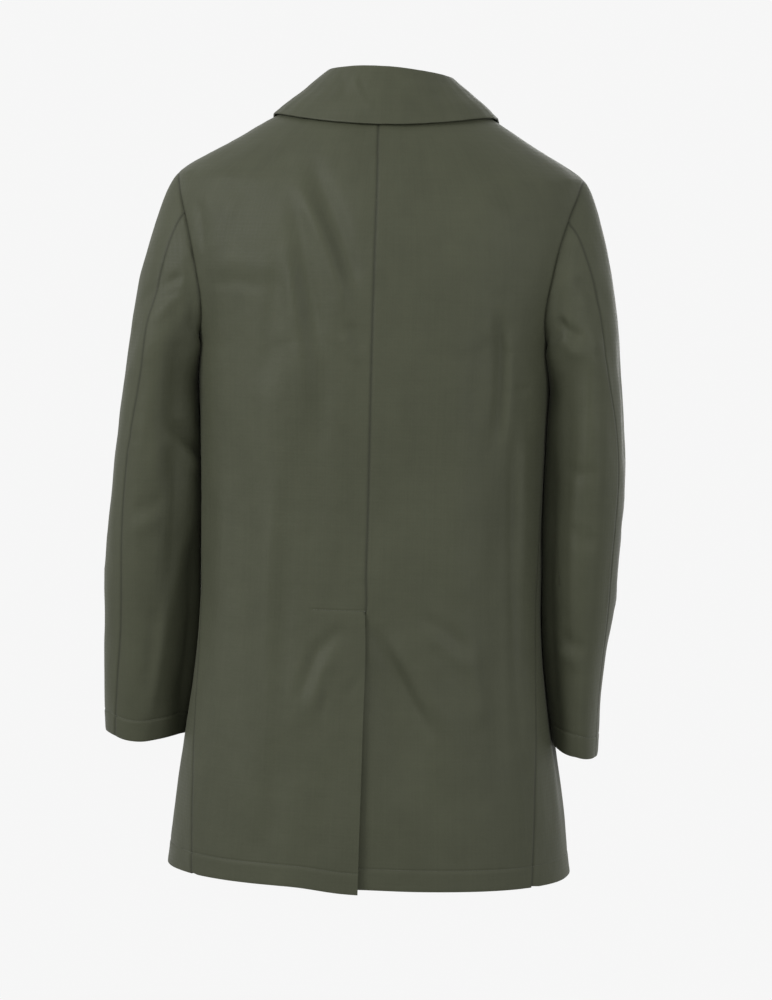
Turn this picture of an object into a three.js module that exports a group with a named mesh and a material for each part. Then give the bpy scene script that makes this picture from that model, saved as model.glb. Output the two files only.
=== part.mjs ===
// A short single-breasted raincoat in bonded cotton, filled out as it is when worn, with nobody in it.
// Units are millimetres. +Z is up, +X is the wearer's left and -Y is the front.
// The origin is the middle of the neck, level with the points where the shoulder seams meet the collar.
import * as THREE from "three";

// Driving sizes
const WALL = 1.6; // bonded cloth
const SEAM_GAP = 0.3; // between the pieces along a seam
const COAT_LENGTH = 870; // from the neck point to the hem
const VENT_TOP = -567; // height at which the back seam opens
const VENT_WIDTH = 52; // how far the lower layer of the vent runs under the flap
const VENT_FLAP_LAP = 1.5; // how far the flap's edge passes the back's centre line
const FLAP_LIFT = 4; // how far the flap's corner stands off at the hem
const FLAP_DROP = 5; // how far the flap's corner hangs below the rest of the hem
const VENT_RAMP = 30; // how far above the vent its under layer starts to go in
const FLAP_REACH = 80; // how far from the centre line the flap's lift and drop die out
const FRONT_LAP = 30; // how far each front passes the centre line
const LAP_DROP = 15; // how far down the neckline's slope the top of the lap is cut, so that it ends level
const LAP_DROP_FROM = -110; // the ring where that begins
const UNDER_STEP = 3.2; // how far an under layer sits inside the layer that covers it
const STEP_FROM = 10; // how far outside a lap's edge the under layer is still fully inside
const STEP_TO = 65; // and how far out it is back on the coat's face
const SHOULDER_HEIGHT = -88; // height of the shoulder point
const UNDERARM_HEIGHT = -280;
const CAP_HEIGHT = -300; // height at which the sleeve has become a plain tube
const CAP_OUT = 13; // how far the cap's top runs outwards before it turns down
const CAP_TURN = 90; // how long the cap's top then runs straight down
const UNDERARM_OUT = 6; // how far the sleeve runs outwards at the underarm and to the back and front
const UNDERARM_TURN = 8;
const CAP_DIP = 5; // how far the cap falls while it runs outwards
const SLEEVE_SEAM_BACK = 60; // the sleeve's seams where they leave the armhole, in degrees from its top
const SLEEVE_SEAM_FRONT = -120;
const BUTTON = {
  radius: 11.5, thickness: 3, holeRadius: 1.2, holeReach: 2.6, count: 5, top: -128, pitch: 112,
};

// The numbers of cells that each piece is divided into
const BODY_COLUMNS = 9;
const LAP_COLUMNS = 1;
const VENT_COLUMNS = 2;
const ARMHOLE_STEPS = 9; // from the underarm to the shoulder point
const SLEEVE_COLUMNS = 9;
const CAP_STEPS = 5;
const COLLAR_COLUMNS = 32;
const FALL_ROWS = 3;
const ROLL_STEPS = 3;

const rad = THREE.MathUtils.degToRad;
const UP = new THREE.Vector3(0, 0, 1);

// Rings round the body, from the hem to the neck. side is the ring's height at the sides. It lies backDrop
// and frontDrop lower at the centre of the back and front. half is its half width, back and front are its
// depths, and square is 2 for an ellipse and more for a squarer ring.
const BODY_RINGS = [
  { side: -COAT_LENGTH, half: 229, back: 158, front: 148, backDrop: 0, frontDrop: 0, square: 2.4 },
  { side: -800, half: 222, back: 153, front: 145, backDrop: 0, frontDrop: 0, square: 2.45 },
  { side: -740, half: 214, back: 148, front: 141, backDrop: 0, frontDrop: 0, square: 2.5 },
  { side: -680, half: 204, back: 144, front: 138, backDrop: 0, frontDrop: 0, square: 2.6 },
  { side: -620, half: 197.5, back: 139, front: 134, backDrop: 0, frontDrop: 0, square: 2.7 },
  { side: -550, half: 194, back: 135, front: 131, backDrop: 0, frontDrop: 0, square: 2.7 },
  { side: -450, half: 194.5, back: 134, front: 130, backDrop: 0, frontDrop: 0, square: 2.7 },
  { side: -350, half: 197.5, back: 138, front: 133, backDrop: 0, frontDrop: 0, square: 2.65 },
  { side: -280, half: 202, back: 140, front: 134, backDrop: 0, frontDrop: 0, square: 2.5 },
  { side: -230, half: 216, back: 139, front: 130, backDrop: 0, frontDrop: 2, square: 2.45 },
  { side: -184, half: 229, back: 137, front: 124, backDrop: 1, frontDrop: 8, square: 2.4 },
  { side: -140, half: 233, back: 131, front: 116, backDrop: 5, frontDrop: 18, square: 2.3 },
  { side: -110, half: 232, back: 125, front: 107, backDrop: 10, frontDrop: 30, square: 2.2 },
  { side: SHOULDER_HEIGHT, half: 227, back: 119, front: 100, backDrop: 13, frontDrop: 40, square: 2.08 },
  { side: -72, half: 203, back: 113.5, front: 94, backDrop: 14, frontDrop: 48, square: 2.02 },
  { side: -56, half: 174, back: 107, front: 88, backDrop: 14, frontDrop: 56, square: 2 },
  { side: -40, half: 148, back: 98.5, front: 82, backDrop: 14, frontDrop: 65, square: 2 },
  { side: -26, half: 125, back: 89, front: 77, backDrop: 13, frontDrop: 72, square: 2 },
  { side: -12, half: 99, back: 77, front: 72, backDrop: 11, frontDrop: 79, square: 2 },
  { side: 0, half: 76, back: 66, front: 68, backDrop: 10, frontDrop: 86, square: 2 },
];

// Where the side seam lies: its distance behind the middle of the body.
const SIDE_SEAM = [
  { side: -COAT_LENGTH, behind: 104 },
  { side: -770, behind: 90 },
  { side: -670, behind: 70 },
  { side: -560, behind: 54 },
  { side: -450, behind: 44 },
  { side: UNDERARM_HEIGHT, behind: 33 },
];

// The heights of the rows of cells below the armhole and above the shoulder point
const SKIRT_ROWS = [
  -COAT_LENGTH, -846, -802, -756, -708, -660, -614, VENT_TOP, -534, -494, -450, -406, -364, -326, -300,
  UNDERARM_HEIGHT,
];
const SHOULDER_ROWS = [-72, -56, -40, -26, -12, 0];

const FOLDS_FROM = 20; // the folds die out towards the coat's sides between these distances from its middle
const FOLDS_TO = 80;

// Soft folds: a ridge, or a trough where rise is negative, along a line from one point to the other.
const BACK_FOLDS = [
  { name: "left blade trough", x0: 62, z0: -105, x1: 24, z1: -215, width: 15, rise: -4 },
  { name: "left blade ridge", x0: 84, z0: -125, x1: 30, z1: -260, width: 15, rise: 3 },
  { name: "left blade inner trough", x0: 80, z0: -160, x1: 66, z1: -330, width: 14, rise: -3 },
  { name: "left hanging ridge", x0: 96, z0: -200, x1: 110, z1: -620, width: 20, rise: 3.5 },
  { name: "left side trough", x0: 150, z0: -330, x1: 146, z1: -720, width: 19, rise: -4 },
  { name: "right blade ridge", x0: -95, z0: -110, x1: -150, z1: -170, width: 20, rise: 3 },
  { name: "right hanging trough", x0: -132, z0: -225, x1: -134, z1: -420, width: 12, rise: -5 },
  { name: "right side trough", x0: -148, z0: -330, x1: -150, z1: -760, width: 15, rise: -6 },
  { name: "vent trough", x0: -8, z0: -590, x1: -66, z1: -740, width: 22, rise: -5 },
  { name: "vent ridge", x0: -50, z0: -570, x1: -112, z1: -760, width: 24, rise: 3 },
  { name: "flap ridge", x0: 60, z0: -630, x1: 104, z1: -730, width: 18, rise: 3 },
];
const FRONT_FOLDS = [
  { name: "left chest trough", x0: 120, z0: -150, x1: 92, z1: -330, width: 22, rise: -4 },
  { name: "left hanging ridge", x0: 105, z0: -300, x1: 124, z1: -760, width: 24, rise: 4 },
  { name: "right chest trough", x0: -128, z0: -160, x1: -96, z1: -320, width: 20, rise: -4 },
  { name: "right hanging ridge", x0: -98, z0: -340, x1: -118, z1: -780, width: 22, rise: 4 },
  { name: "right skirt trough", x0: -140, z0: -440, x1: -160, z1: -800, width: 18, rise: -4 },
];

// The sleeves below the cap, as rings: the outermost and innermost distances from the middle of the coat,
// the distances behind and in front of it, how far the ring dips on its inner side and hangs lower at its
// back, and where the back seam lies.
const LEFT_SLEEVE = [
  { height: CAP_HEIGHT, outer: 280.5, inner: 204.5, back: 84, front: 84, dip: 30, hang: 0, seam: 72 },
  { height: -350, outer: 287.5, inner: 201, back: 80, front: 81, dip: 25, hang: 0, seam: 66 },
  { height: -400, outer: 293, inner: 199, back: 76, front: 78, dip: 20, hang: 0, seam: 60 },
  { height: -450, outer: 297, inner: 197.5, back: 71, front: 76, dip: 14, hang: 0, seam: 57 },
  { height: -505, outer: 303, inner: 197.5, back: 66, front: 74, dip: 9, hang: 0, seam: 60 },
  { height: -565, outer: 306.5, inner: 198, back: 59, front: 73, dip: 5, hang: 0, seam: 63 },
  { height: -620, outer: 307, inner: 202, back: 52, front: 73, dip: 2, hang: 0, seam: 62 },
  { height: -675, outer: 307.5, inner: 209, back: 45, front: 73, dip: 0, hang: 3, seam: 58 },
  { height: -728, outer: 305, inner: 218, back: 38, front: 72, dip: 0, hang: 7, seam: 53 },
];
const RIGHT_SLEEVE = [
  { height: CAP_HEIGHT, outer: 275.5, inner: 204.5, back: 82, front: 84, dip: 30, hang: 0, seam: 54 },
  { height: -350, outer: 280.5, inner: 201, back: 80, front: 83, dip: 25, hang: 0, seam: 42 },
  { height: -400, outer: 283.5, inner: 199, back: 78, front: 82, dip: 20, hang: 0, seam: 36 },
  { height: -450, outer: 283.5, inner: 197.5, back: 75, front: 82, dip: 14, hang: 0, seam: 37 },
  { height: -505, outer: 280, inner: 197, back: 71, front: 83, dip: 9, hang: 0, seam: 38 },
  { height: -565, outer: 275.5, inner: 197.5, back: 65, front: 84, dip: 5, hang: 0, seam: 36 },
  { height: -620, outer: 267.5, inner: 200.5, back: 59, front: 85, dip: 0, hang: 0, seam: 30 },
  { height: -675, outer: 261.5, inner: 207, back: 54, front: 86, dip: -6, hang: 0, seam: 26 },
  { height: -737, outer: 258.5, inner: 215, back: 49, front: 84, dip: -15, hang: 3, seam: 26 },
];
const SLEEVE_SQUARE = 2.2;

// Folds on the sleeves. Angles are in degrees from the outermost line, towards the back.
const SLEEVE_FOLDS = [
  { name: "cap trough", angle0: 40, z0: -255, angle1: 100, z1: -215, width: 16, rise: -4 },
  { name: "upper arm ridge", angle0: 50, z0: -300, angle1: 110, z1: -255, width: 17, rise: 3 },
  { name: "upper arm trough", angle0: 95, z0: -300, angle1: 130, z1: -430, width: 18, rise: -5 },
  { name: "elbow front trough", angle0: -40, z0: -470, angle1: -110, z1: -440, width: 15, rise: -5 },
  { name: "elbow front ridge", angle0: -40, z0: -505, angle1: -115, z1: -485, width: 15, rise: 4 },
  { name: "forearm trough", angle0: -60, z0: -560, angle1: -120, z1: -520, width: 16, rise: -4 },
];

// The collar's roll line is a ring too, with the roll's own radius on the side that shows.
const COLLAR_ROLL = { side: 24, half: 71.5, back: 57, front: 60, backDrop: -5, frontDrop: 86, square: 2 };
const ROLL_RADIUS = 2.8;
const COLLAR_SEAM_DEPTH = 8; // how far below the roll the collar is sewn to its stand, on the neck side
const COLLAR_CLEARANCE = 4; // from the coat to the collar's outer face
const COLLAR_CROWN = 2.5; // how far the collar bows out between its roll and its edge
const FRONT_NOTCH = 0.6; // from the front's centre line to each end of the collar

// Where the collar's outer edge lies on the coat: for an angle on the roll line, the angle and ring that it
// is over.
const COLLAR_EDGE = [
  { roll: -90, angle: -63, side: -108 },
  { roll: -80, angle: -57, side: -86 },
  { roll: -64, angle: -48, side: -62 },
  { roll: -42, angle: -34, side: -42 },
  { roll: -20, angle: -17, side: -30 },
  { roll: 5, angle: 4, side: -25.5 },
  { roll: 30, angle: 30, side: -25 },
  { roll: 60, angle: 60, side: -25.5 },
  { roll: 90, angle: 90, side: -25.5 },
];
const COLLAR_TILT = 3; // how much higher the roll line is at the wearer's left side

// The coat hangs a little to one side: how far it is moved to the wearer's left at each height. The back seam
// stays where it is.
const SWAY = [
  { height: -COAT_LENGTH, shift: 0 },
  { height: -700, shift: 2.5 },
  { height: -500, shift: 5 },
  { height: -300, shift: 6 },
  { height: -88, shift: 6 },
  { height: -27, shift: 3.5 },
  { height: 0, shift: 0 },
  { height: 25, shift: -3 },
];
const SWAY_FROM = 130; // the distance behind the middle at which nothing moves
const SWAY_TO = 70;

// Small helpers

const smooth = (from, to, value) => THREE.MathUtils.smoothstep(value, from, to);

// A column of a table at a place between its rows, on a curve with no overshoot.
function column(table, key, place, name) {
  const rising = table[0][key] < table.at(-1)[key];
  const rows = rising ? table : [...table].reverse();
  const last = rows.length - 1;
  if (place <= rows[0][key]) return rows[0][name];
  if (place >= rows[last][key]) return rows[last][name];
  const i = rows.findIndex((row) => row[key] > place) - 1;
  const slope = (k) => (rows[k + 1][name] - rows[k][name]) / (rows[k + 1][key] - rows[k][key]);
  const tangent = (k) => {
    if (k === 0) return slope(0);
    if (k === last) return slope(last - 1);
    const [before, after] = [slope(k - 1), slope(k)];
    return before * after <= 0 ? 0 : (2 * before * after) / (before + after);
  };
  const span = rows[i + 1][key] - rows[i][key];
  const u = (place - rows[i][key]) / span;
  const v = 1 - u;
  return (
    rows[i][name] * (1 + 2 * u) * v * v +
    rows[i + 1][name] * (1 + 2 * v) * u * u +
    span * u * v * (tangent(i) * v - tangent(i + 1) * u)
  );
}

// A point of a ring. The angle is 0 at the wearer's left side, 90 at the centre of the back and -90 at the
// front.
function ringPoint(ring, angle) {
  const [c, s] = [Math.cos(rad(angle)), Math.sin(rad(angle))];
  const power = 2 / ring.square;
  const depth = s > 0 ? ring.back : ring.front;
  const drop = s > 0 ? ring.backDrop : ring.frontDrop;
  return new THREE.Vector3(
    ring.half * Math.sign(c) * Math.abs(c) ** power,
    depth * Math.sign(s) * Math.abs(s) ** power,
    ring.side - drop * s * s,
  );
}

const bodyRing = (side) =>
  Object.fromEntries(
    Object.keys(BODY_RINGS[0]).map((name) => [name, column(BODY_RINGS, "side", side, name)]),
  );

// How much a list of folds raises the cloth at a point given by two flat coordinates in millimetres.
function foldRise(folds, u, v) {
  let rise = 0;
  for (const fold of folds) {
    const [du, dv] = [fold.u1 - fold.u0, fold.v1 - fold.v0];
    const along = ((u - fold.u0) * du + (v - fold.v0) * dv) / (du * du + dv * dv);
    const across = Math.hypot(u - fold.u0 - along * du, v - fold.v0 - along * dv);
    const ends = smooth(-0.15, 0.3, along) * (1 - smooth(0.7, 1.15, along));
    rise += fold.rise * ends * Math.exp(-((across / fold.width) ** 2));
  }
  return rise;
}
const flatFold = (fold) => ({ ...fold, u0: fold.x0, v0: fold.z0, u1: fold.x1, v1: fold.z1 });
const BACK_LINES = BACK_FOLDS.map(flatFold);
const FRONT_LINES = FRONT_FOLDS.map(flatFold);
const SLEEVE_ARM_RADIUS = 64; // turns an angle on the sleeve into a length along the cloth
const SLEEVE_LINES = SLEEVE_FOLDS.map((fold) => ({
  ...fold,
  u0: rad(fold.angle0) * SLEEVE_ARM_RADIUS,
  u1: rad(fold.angle1) * SLEEVE_ARM_RADIUS,
  v0: fold.z0,
  v1: fold.z1,
}));

// A face's normal, from its point function and the small steps round and up it.
function normalOf(point, a, b, stepA, stepB, flip = 1) {
  const round = point(a + stepA, b).sub(point(a - stepA, b));
  const rise = point(a, b + stepB).sub(point(a, b - stepB));
  return round.cross(rise).normalize().multiplyScalar(flip);
}

// The body's outer face, plain and then with its folds

const plainBody = (angle, side) => ringPoint(bodyRing(side), angle);
const ANGLE_STEP = 0.5;
const SIDE_STEP = 0.5;
const topSide = (side) => Math.min(side, -SIDE_STEP);
const bodyNormal = (angle, side) => normalOf(plainBody, angle, topSide(side), ANGLE_STEP, SIDE_STEP);

function bodyPoint(angle, side) {
  const point = plainBody(angle, side);
  const folds = point.y > 0 ? BACK_LINES : FRONT_LINES;
  const facing = smooth(FOLDS_FROM, FOLDS_TO, Math.abs(point.y));
  return point.addScaledVector(bodyNormal(angle, side), facing * foldRise(folds, point.x, point.z));
}

// The angle at which a ring is so far across from its middle, towards the wearer's left.
function angleAcross(ring, x, atBack) {
  const c = Math.sign(x) * Math.abs(x / ring.half) ** (ring.square / 2);
  const angle = THREE.MathUtils.radToDeg(Math.acos(c));
  return atBack ? angle : -angle;
}

function sideSeamAngle(side) {
  const ring = bodyRing(side);
  const share = column(SIDE_SEAM, "side", side, "behind") / ring.back;
  return THREE.MathUtils.radToDeg(Math.asin(share ** (ring.square / 2)));
}

// The armhole: a closed curve on the body. step is 0 at the shoulder point and 180 at the underarm, round
// the back if it is positive and round the front if it is negative.
const ARMHOLE_MIDDLE = (SHOULDER_HEIGHT + UNDERARM_HEIGHT) / 2;
const ARMHOLE_RISE = (SHOULDER_HEIGHT - UNDERARM_HEIGHT) / 2;
const ARMHOLE_BACK = 27; // degrees round the body
const ARMHOLE_FRONT = 40;
const UNDERARM_ANGLE = sideSeamAngle(UNDERARM_HEIGHT);
const armholeSide = (step) => ARMHOLE_MIDDLE + ARMHOLE_RISE * Math.cos(rad(step));
function armholeAngle(step) {
  const swing = step > 0 ? ARMHOLE_BACK : ARMHOLE_FRONT;
  return UNDERARM_ANGLE * (1 - Math.cos(rad(step))) / 2 + swing * Math.sin(rad(step));
}
const armholePoint = (step) => bodyPoint(armholeAngle(step), armholeSide(step));

// The sleeve's outer face. step goes round it from the outermost line towards the back, and down is 0 at
// the armhole, 1 where the cap ends and more below it.
function sleeveRing(table, down) {
  const height = down <= 1 ? CAP_HEIGHT : CAP_HEIGHT + (table.at(-1).height - CAP_HEIGHT) * (down - 1);
  const entries = Object.keys(table[0]).map((name) => [name, column(table, "height", height, name)]);
  return Object.fromEntries(entries);
}

function sleeveTube(table, step, down) {
  const ring = sleeveRing(table, down);
  const [c, s] = [Math.cos(rad(step)), Math.sin(rad(step))];
  const power = 2 / SLEEVE_SQUARE;
  const half = (ring.outer - ring.inner) / 2;
  const depth = (ring.back + ring.front) / 2;
  return new THREE.Vector3(
    ring.inner + half + half * Math.sign(c) * Math.abs(c) ** power,
    (ring.back - ring.front) / 2 + depth * Math.sign(s) * Math.abs(s) ** power,
    ring.height - (ring.dip * (1 - c)) / 2 - ring.hang * Math.max(s, 0) ** 4,
  );
}

const wrapped = (step) => ((((step + 180) % 360) + 360) % 360) - 180;

function plainSleeve(table, step, down) {
  if (down > 1) return sleeveTube(table, step, down);
  const end = sleeveTube(table, step, 1);
  const start = armholePoint(wrapped(step));
  start.add(armholeInto(wrapped(step)).multiplyScalar(SEAM_GAP));
  const top = (1 + Math.cos(rad(step))) / 2; // 1 on the outermost line, 0 at the underarm
  const out = UNDERARM_OUT + (CAP_OUT - UNDERARM_OUT) * top;
  const leave = new THREE.Vector3(out, UNDERARM_OUT * Math.sin(rad(step)), -CAP_DIP).add(start);
  const arrive = new THREE.Vector3(-UNDERARM_OUT * top, 0, UNDERARM_TURN + CAP_TURN * top).add(end);
  return new THREE.CubicBezierCurve3(start, leave, arrive, end).getPoint(Math.max(down, 0));
}

// The direction that leads from the body's cloth straight into the armhole.
function armholeInto(step) {
  const along = armholePoint(step + 1).sub(armholePoint(step - 1));
  const into = along.cross(bodyNormal(armholeAngle(step), armholeSide(step))).normalize();
  const middle = new THREE.Vector3(armholePoint(step).x, 0, ARMHOLE_MIDDLE);
  return into.dot(middle.sub(armholePoint(step))) < 0 ? into.negate() : into;
}

const SLEEVE_STEP = 1;
const DOWN_STEP = 0.02;
function sleeveNormal(table, step, down) {
  const middle = Math.max(down, DOWN_STEP);
  return normalOf((a, b) => plainSleeve(table, a, b), step, middle, SLEEVE_STEP, DOWN_STEP, -1);
}

function sleevePoint(table, step, down) {
  const point = plainSleeve(table, step, down);
  const free = smooth(0, 0.5, down);
  const rise = foldRise(SLEEVE_LINES, rad(wrapped(step)) * SLEEVE_ARM_RADIUS, point.z);
  return point.addScaledVector(sleeveNormal(table, step, down), free * rise);
}

// The step from outer to inner face at the armhole, shared by the body and the sleeve so that their walls
// meet.
function armholeMitre(table, step) {
  const body = bodyNormal(armholeAngle(step), armholeSide(step));
  const sleeve = sleeveNormal(table, step, 0);
  const scale = WALL / Math.max(1 + body.dot(sleeve), 0.6);
  return body.add(sleeve).multiplyScalar(-scale);
}

const swayAt = (point) =>
  column(SWAY, "height", point.z, "shift") * (1 - smooth(SWAY_TO, SWAY_FROM, point.y));

// A closed wall from two matching grids of points. A cell with a missing corner is left out.
function wallGeometry(outer, inner) {
  const positions = [];
  const add = (...points) =>
    points.forEach((point) => positions.push(point.x + swayAt(point), point.y, point.z));
  const quad = (a, b, c, d, turned = false) => (turned ? add(b, c, d, b, d, a) : add(a, b, c, a, c, d));
  const isCell = (i, j) =>
    i >= 0 && j >= 0 && i + 1 < outer.length &&
    [outer[i][j], outer[i][j + 1], outer[i + 1][j], outer[i + 1][j + 1]].every(Boolean);
  for (let i = 0; i + 1 < outer.length; i++) {
    for (let j = 0; j + 1 < outer[i].length; j++) {
      if (!isCell(i, j)) continue;
      const corners = [[i, j], [i, j + 1], [i + 1, j + 1], [i + 1, j]];
      const [a, b, c, d] = corners.map(([row, place]) => outer[row][place]);
      const [e, f, g, h] = corners.map(([row, place]) => inner[row][place]);
      const turned = b.distanceTo(d) < a.distanceTo(c); // the face is split along its shorter diagonal
      quad(a, b, c, d, turned);
      quad(h, g, f, e, !turned);
      if (!isCell(i - 1, j)) quad(e, f, b, a);
      if (!isCell(i, j + 1)) quad(f, g, c, b);
      if (!isCell(i + 1, j)) quad(g, h, d, c);
      if (!isCell(i, j - 1)) quad(h, e, a, d);
    }
  }
  const geometry = new THREE.BufferGeometry();
  geometry.setAttribute("position", new THREE.Float32BufferAttribute(positions, 3));
  geometry.computeVertexNormals();
  return geometry;
}

// Angles that divide the stretch of a ring between two angles into equal lengths of cloth.
const FINE_STEPS = 240;
function evenAngles(ring, from, to, count, trimFrom = 0, trimTo = 0) {
  const angles = Array.from({ length: FINE_STEPS + 1 }, (_, k) => from + ((to - from) * k) / FINE_STEPS);
  const points = angles.map((angle) => ringPoint(ring, angle));
  const lengths = [0];
  for (let k = 1; k <= FINE_STEPS; k++) lengths.push(lengths[k - 1] + points[k].distanceTo(points[k - 1]));
  const total = lengths[FINE_STEPS];
  return Array.from({ length: count + 1 }, (_, k) => {
    const wanted = Math.min(total, trimFrom + ((total - trimFrom - trimTo) * k) / count);
    const after = Math.max(1, lengths.findIndex((length) => length >= wanted));
    const share = (wanted - lengths[after - 1]) / (lengths[after] - lengths[after - 1]);
    return angles[after - 1] + (angles[after] - angles[after - 1]) * share;
  });
}

// The rows of a body panel: the skirt, then the armhole, then the shoulder.
const ARMHOLE_ROWS = Array.from({ length: ARMHOLE_STEPS }, (_, k) => {
  const step = 180 - ((k + 1) * 180) / ARMHOLE_STEPS;
  return { side: armholeSide(step), step };
});
const PANEL_ROWS = [
  ...SKIRT_ROWS.map((side) => ({ side, step: side === UNDERARM_HEIGHT ? 180 : null })),
  ...ARMHOLE_ROWS,
  ...SHOULDER_ROWS.map((side) => ({ side, step: null })),
];

// The panels are worked out for the wearer's left. mirror is -1 for the right, whose folds and sleeve are
// its own.
const sleeveOf = (mirror) => (mirror > 0 ? LEFT_SLEEVE : RIGHT_SLEEVE);

function panelSpot(mirror, angle, side, sink, step) {
  const round = mirror > 0 ? angle : 180 - angle;
  const outer = bodyPoint(round, side);
  const normal = bodyNormal(round, side);
  const inward = normal.clone().multiplyScalar(-WALL);
  if (step !== null) {
    inward.copy(armholeMitre(sleeveOf(mirror), step));
    inward.x *= mirror;
  }
  outer.addScaledVector(normal, -sink);
  return { outer, inner: outer.clone().add(inward) };
}

const wallOf = (spots, flip) => {
  const rows = spots.map((row) => (flip ? [...row].reverse() : row));
  const face = (name) => rows.map((row) => row.map((spot) => spot && spot[name]));
  return wallGeometry(face("outer"), face("inner"));
};

// The angle of a panel's outer edge: the side seam, then the armhole, then the shoulder seam.
function panelSideAngle({ side, step }, front) {
  if (step !== null) return armholeAngle(front ? -step : step);
  return side < UNDERARM_HEIGHT ? sideSeamAngle(side) : 0;
}
const isArmhole = ({ step }) => step !== null && step !== 180 && step !== 0;

function backPanel(mirror) {
  const flap = mirror > 0;
  const spots = PANEL_ROWS.map((row) => {
    const ring = bodyRing(row.side);
    const open = row.side < VENT_TOP;
    const centre = flap && open ? angleAcross(ring, -VENT_FLAP_LAP, true) : 90;
    const trim = isArmhole(row) ? 0 : SEAM_GAP / 2;
    const trimCentre = flap && open ? 0 : SEAM_GAP / 2;
    const angles = evenAngles(ring, panelSideAngle(row, false), centre, BODY_COLUMNS, trim, trimCentre);
    const opened = 1 - smooth(-COAT_LENGTH, VENT_TOP, row.side);
    const sunk = 1 - smooth(VENT_TOP, VENT_TOP + VENT_RAMP, row.side);
    const made = angles.map((angle, place) => {
      const x = Math.max(0, plainBody(angle, row.side).x);
      const near = 1 - smooth(0, FLAP_REACH, x);
      const beside = 1 - smooth(STEP_FROM, STEP_TO, x);
      const sink = flap ? -FLAP_LIFT * opened * near : UNDER_STEP * sunk * beside;
      const step = place === 0 ? row.step : null;
      const spot = panelSpot(mirror, angle, row.side, sink, step);
      if (flap) [spot.outer, spot.inner].forEach((point) => (point.z -= FLAP_DROP * opened * near));
      return spot;
    });
    if (flap) return made;
    for (let k = 1; k <= VENT_COLUMNS; k++) {
      const angle = angleAcross(ring, (-VENT_WIDTH * k) / VENT_COLUMNS, true);
      made.push(row.side <= VENT_TOP ? panelSpot(mirror, angle, row.side, UNDER_STEP, null) : null);
    }
    return made;
  });
  return wallOf(spots, mirror < 0);
}

function frontPanel(mirror) {
  const over = mirror > 0; // the wearer's left front lies on the right one
  const spots = PANEL_ROWS.map((row) => {
    const trim = isArmhole(row) ? 0 : SEAM_GAP / 2;
    const angles = evenAngles(bodyRing(row.side), panelSideAngle(row, true), -90, BODY_COLUMNS, trim);
    const places = angles.map((angle) => ({ angle, side: row.side }));
    for (let k = 1; k <= LAP_COLUMNS; k++) {
      const side = row.side - (LAP_DROP * smooth(LAP_DROP_FROM, 0, row.side) * k) / LAP_COLUMNS;
      places.push({ angle: angleAcross(bodyRing(side), (-FRONT_LAP * k) / LAP_COLUMNS, false), side });
    }
    return places.map(({ angle, side }, place) => {
      const x = plainBody(angle, side).x;
      const sink = over ? 0 : UNDER_STEP * (1 - smooth(STEP_FROM, STEP_TO, x - FRONT_LAP));
      const step = place === 0 && row.step !== null ? -row.step : null;
      return panelSpot(mirror, angle, side, sink, step);
    });
  });
  return wallOf(spots, mirror > 0);
}

// A sleeve's outer (top) or inner (under) panel. Both run from the back seam to the front seam.
function sleevePanel(mirror, top) {
  const table = sleeveOf(mirror);
  const height = (row) => 1 + (row.height - CAP_HEIGHT) / (table.at(-1).height - CAP_HEIGHT);
  const downs = Array.from({ length: CAP_STEPS }, (_, k) => k / CAP_STEPS).concat(table.map(height));
  const spots = downs.map((down) => {
    const settled = smooth(0, 1, down);
    const back = SLEEVE_SEAM_BACK + (sleeveRing(table, down).seam - SLEEVE_SEAM_BACK) * settled;
    const front = back + (SLEEVE_SEAM_FRONT - SLEEVE_SEAM_BACK) + (top ? 0 : 360);
    const trim = THREE.MathUtils.radToDeg(SEAM_GAP / SLEEVE_ARM_RADIUS) * (top ? -1 : 1);
    return Array.from({ length: SLEEVE_COLUMNS + 1 }, (_, k) => {
      const trimmed = k === 0 ? trim : k === SLEEVE_COLUMNS ? -trim : 0;
      const step = back + ((front - back) * k) / SLEEVE_COLUMNS + trimmed;
      const outer = sleevePoint(table, step, down);
      const inward =
        down === 0
          ? armholeMitre(table, wrapped(back + ((front - back) * k) / SLEEVE_COLUMNS))
          : sleeveNormal(table, step, down).multiplyScalar(-WALL);
      const inner = outer.clone().add(inward);
      [outer, inner].forEach((point) => (point.x *= mirror));
      return { outer, inner };
    });
  });
  return wallOf(spots, top !== mirror > 0);
}

// The collar: a stand that follows the neckline, and a collar that rolls over it.

const collarAngle = (share) => {
  const notch = THREE.MathUtils.radToDeg(FRONT_NOTCH / COLLAR_ROLL.half);
  return -90 + notch + (360 - 2 * notch) * share;
};
const mirrored = (angle) => (angle > 90 ? 180 - angle : angle);
const outwardOf = (ring, angle) => {
  const along = ringPoint(ring, angle + ANGLE_STEP).sub(ringPoint(ring, angle - ANGLE_STEP));
  return new THREE.Vector3(along.y, -along.x, 0).normalize();
};
const collarShares = Array.from({ length: COLLAR_COLUMNS + 1 }, (_, k) => k / COLLAR_COLUMNS);

// A point near the roll line, so far out from it and so far up.
const nearRoll = (angle, out, up) =>
  ringPoint(COLLAR_ROLL, angle)
    .addScaledVector(outwardOf(COLLAR_ROLL, angle), out)
    .addScaledVector(UP, up + COLLAR_TILT * Math.cos(rad(angle)));

function collarStand() {
  const neck = { ...bodyRing(0), side: SEAM_GAP };
  const spots = [0, 0.5, 1].map((share) =>
    collarShares.map((place) => {
      const angle = collarAngle(place);
      const foot = ringPoint(neck, angle);
      const head = nearRoll(angle, WALL - ROLL_RADIUS, -ROLL_RADIUS - COLLAR_SEAM_DEPTH);
      const inner = foot.lerp(head, share);
      return { outer: inner.clone().addScaledVector(outwardOf(COLLAR_ROLL, angle), -WALL), inner };
    }),
  );
  return wallOf(spots, true);
}

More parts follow.
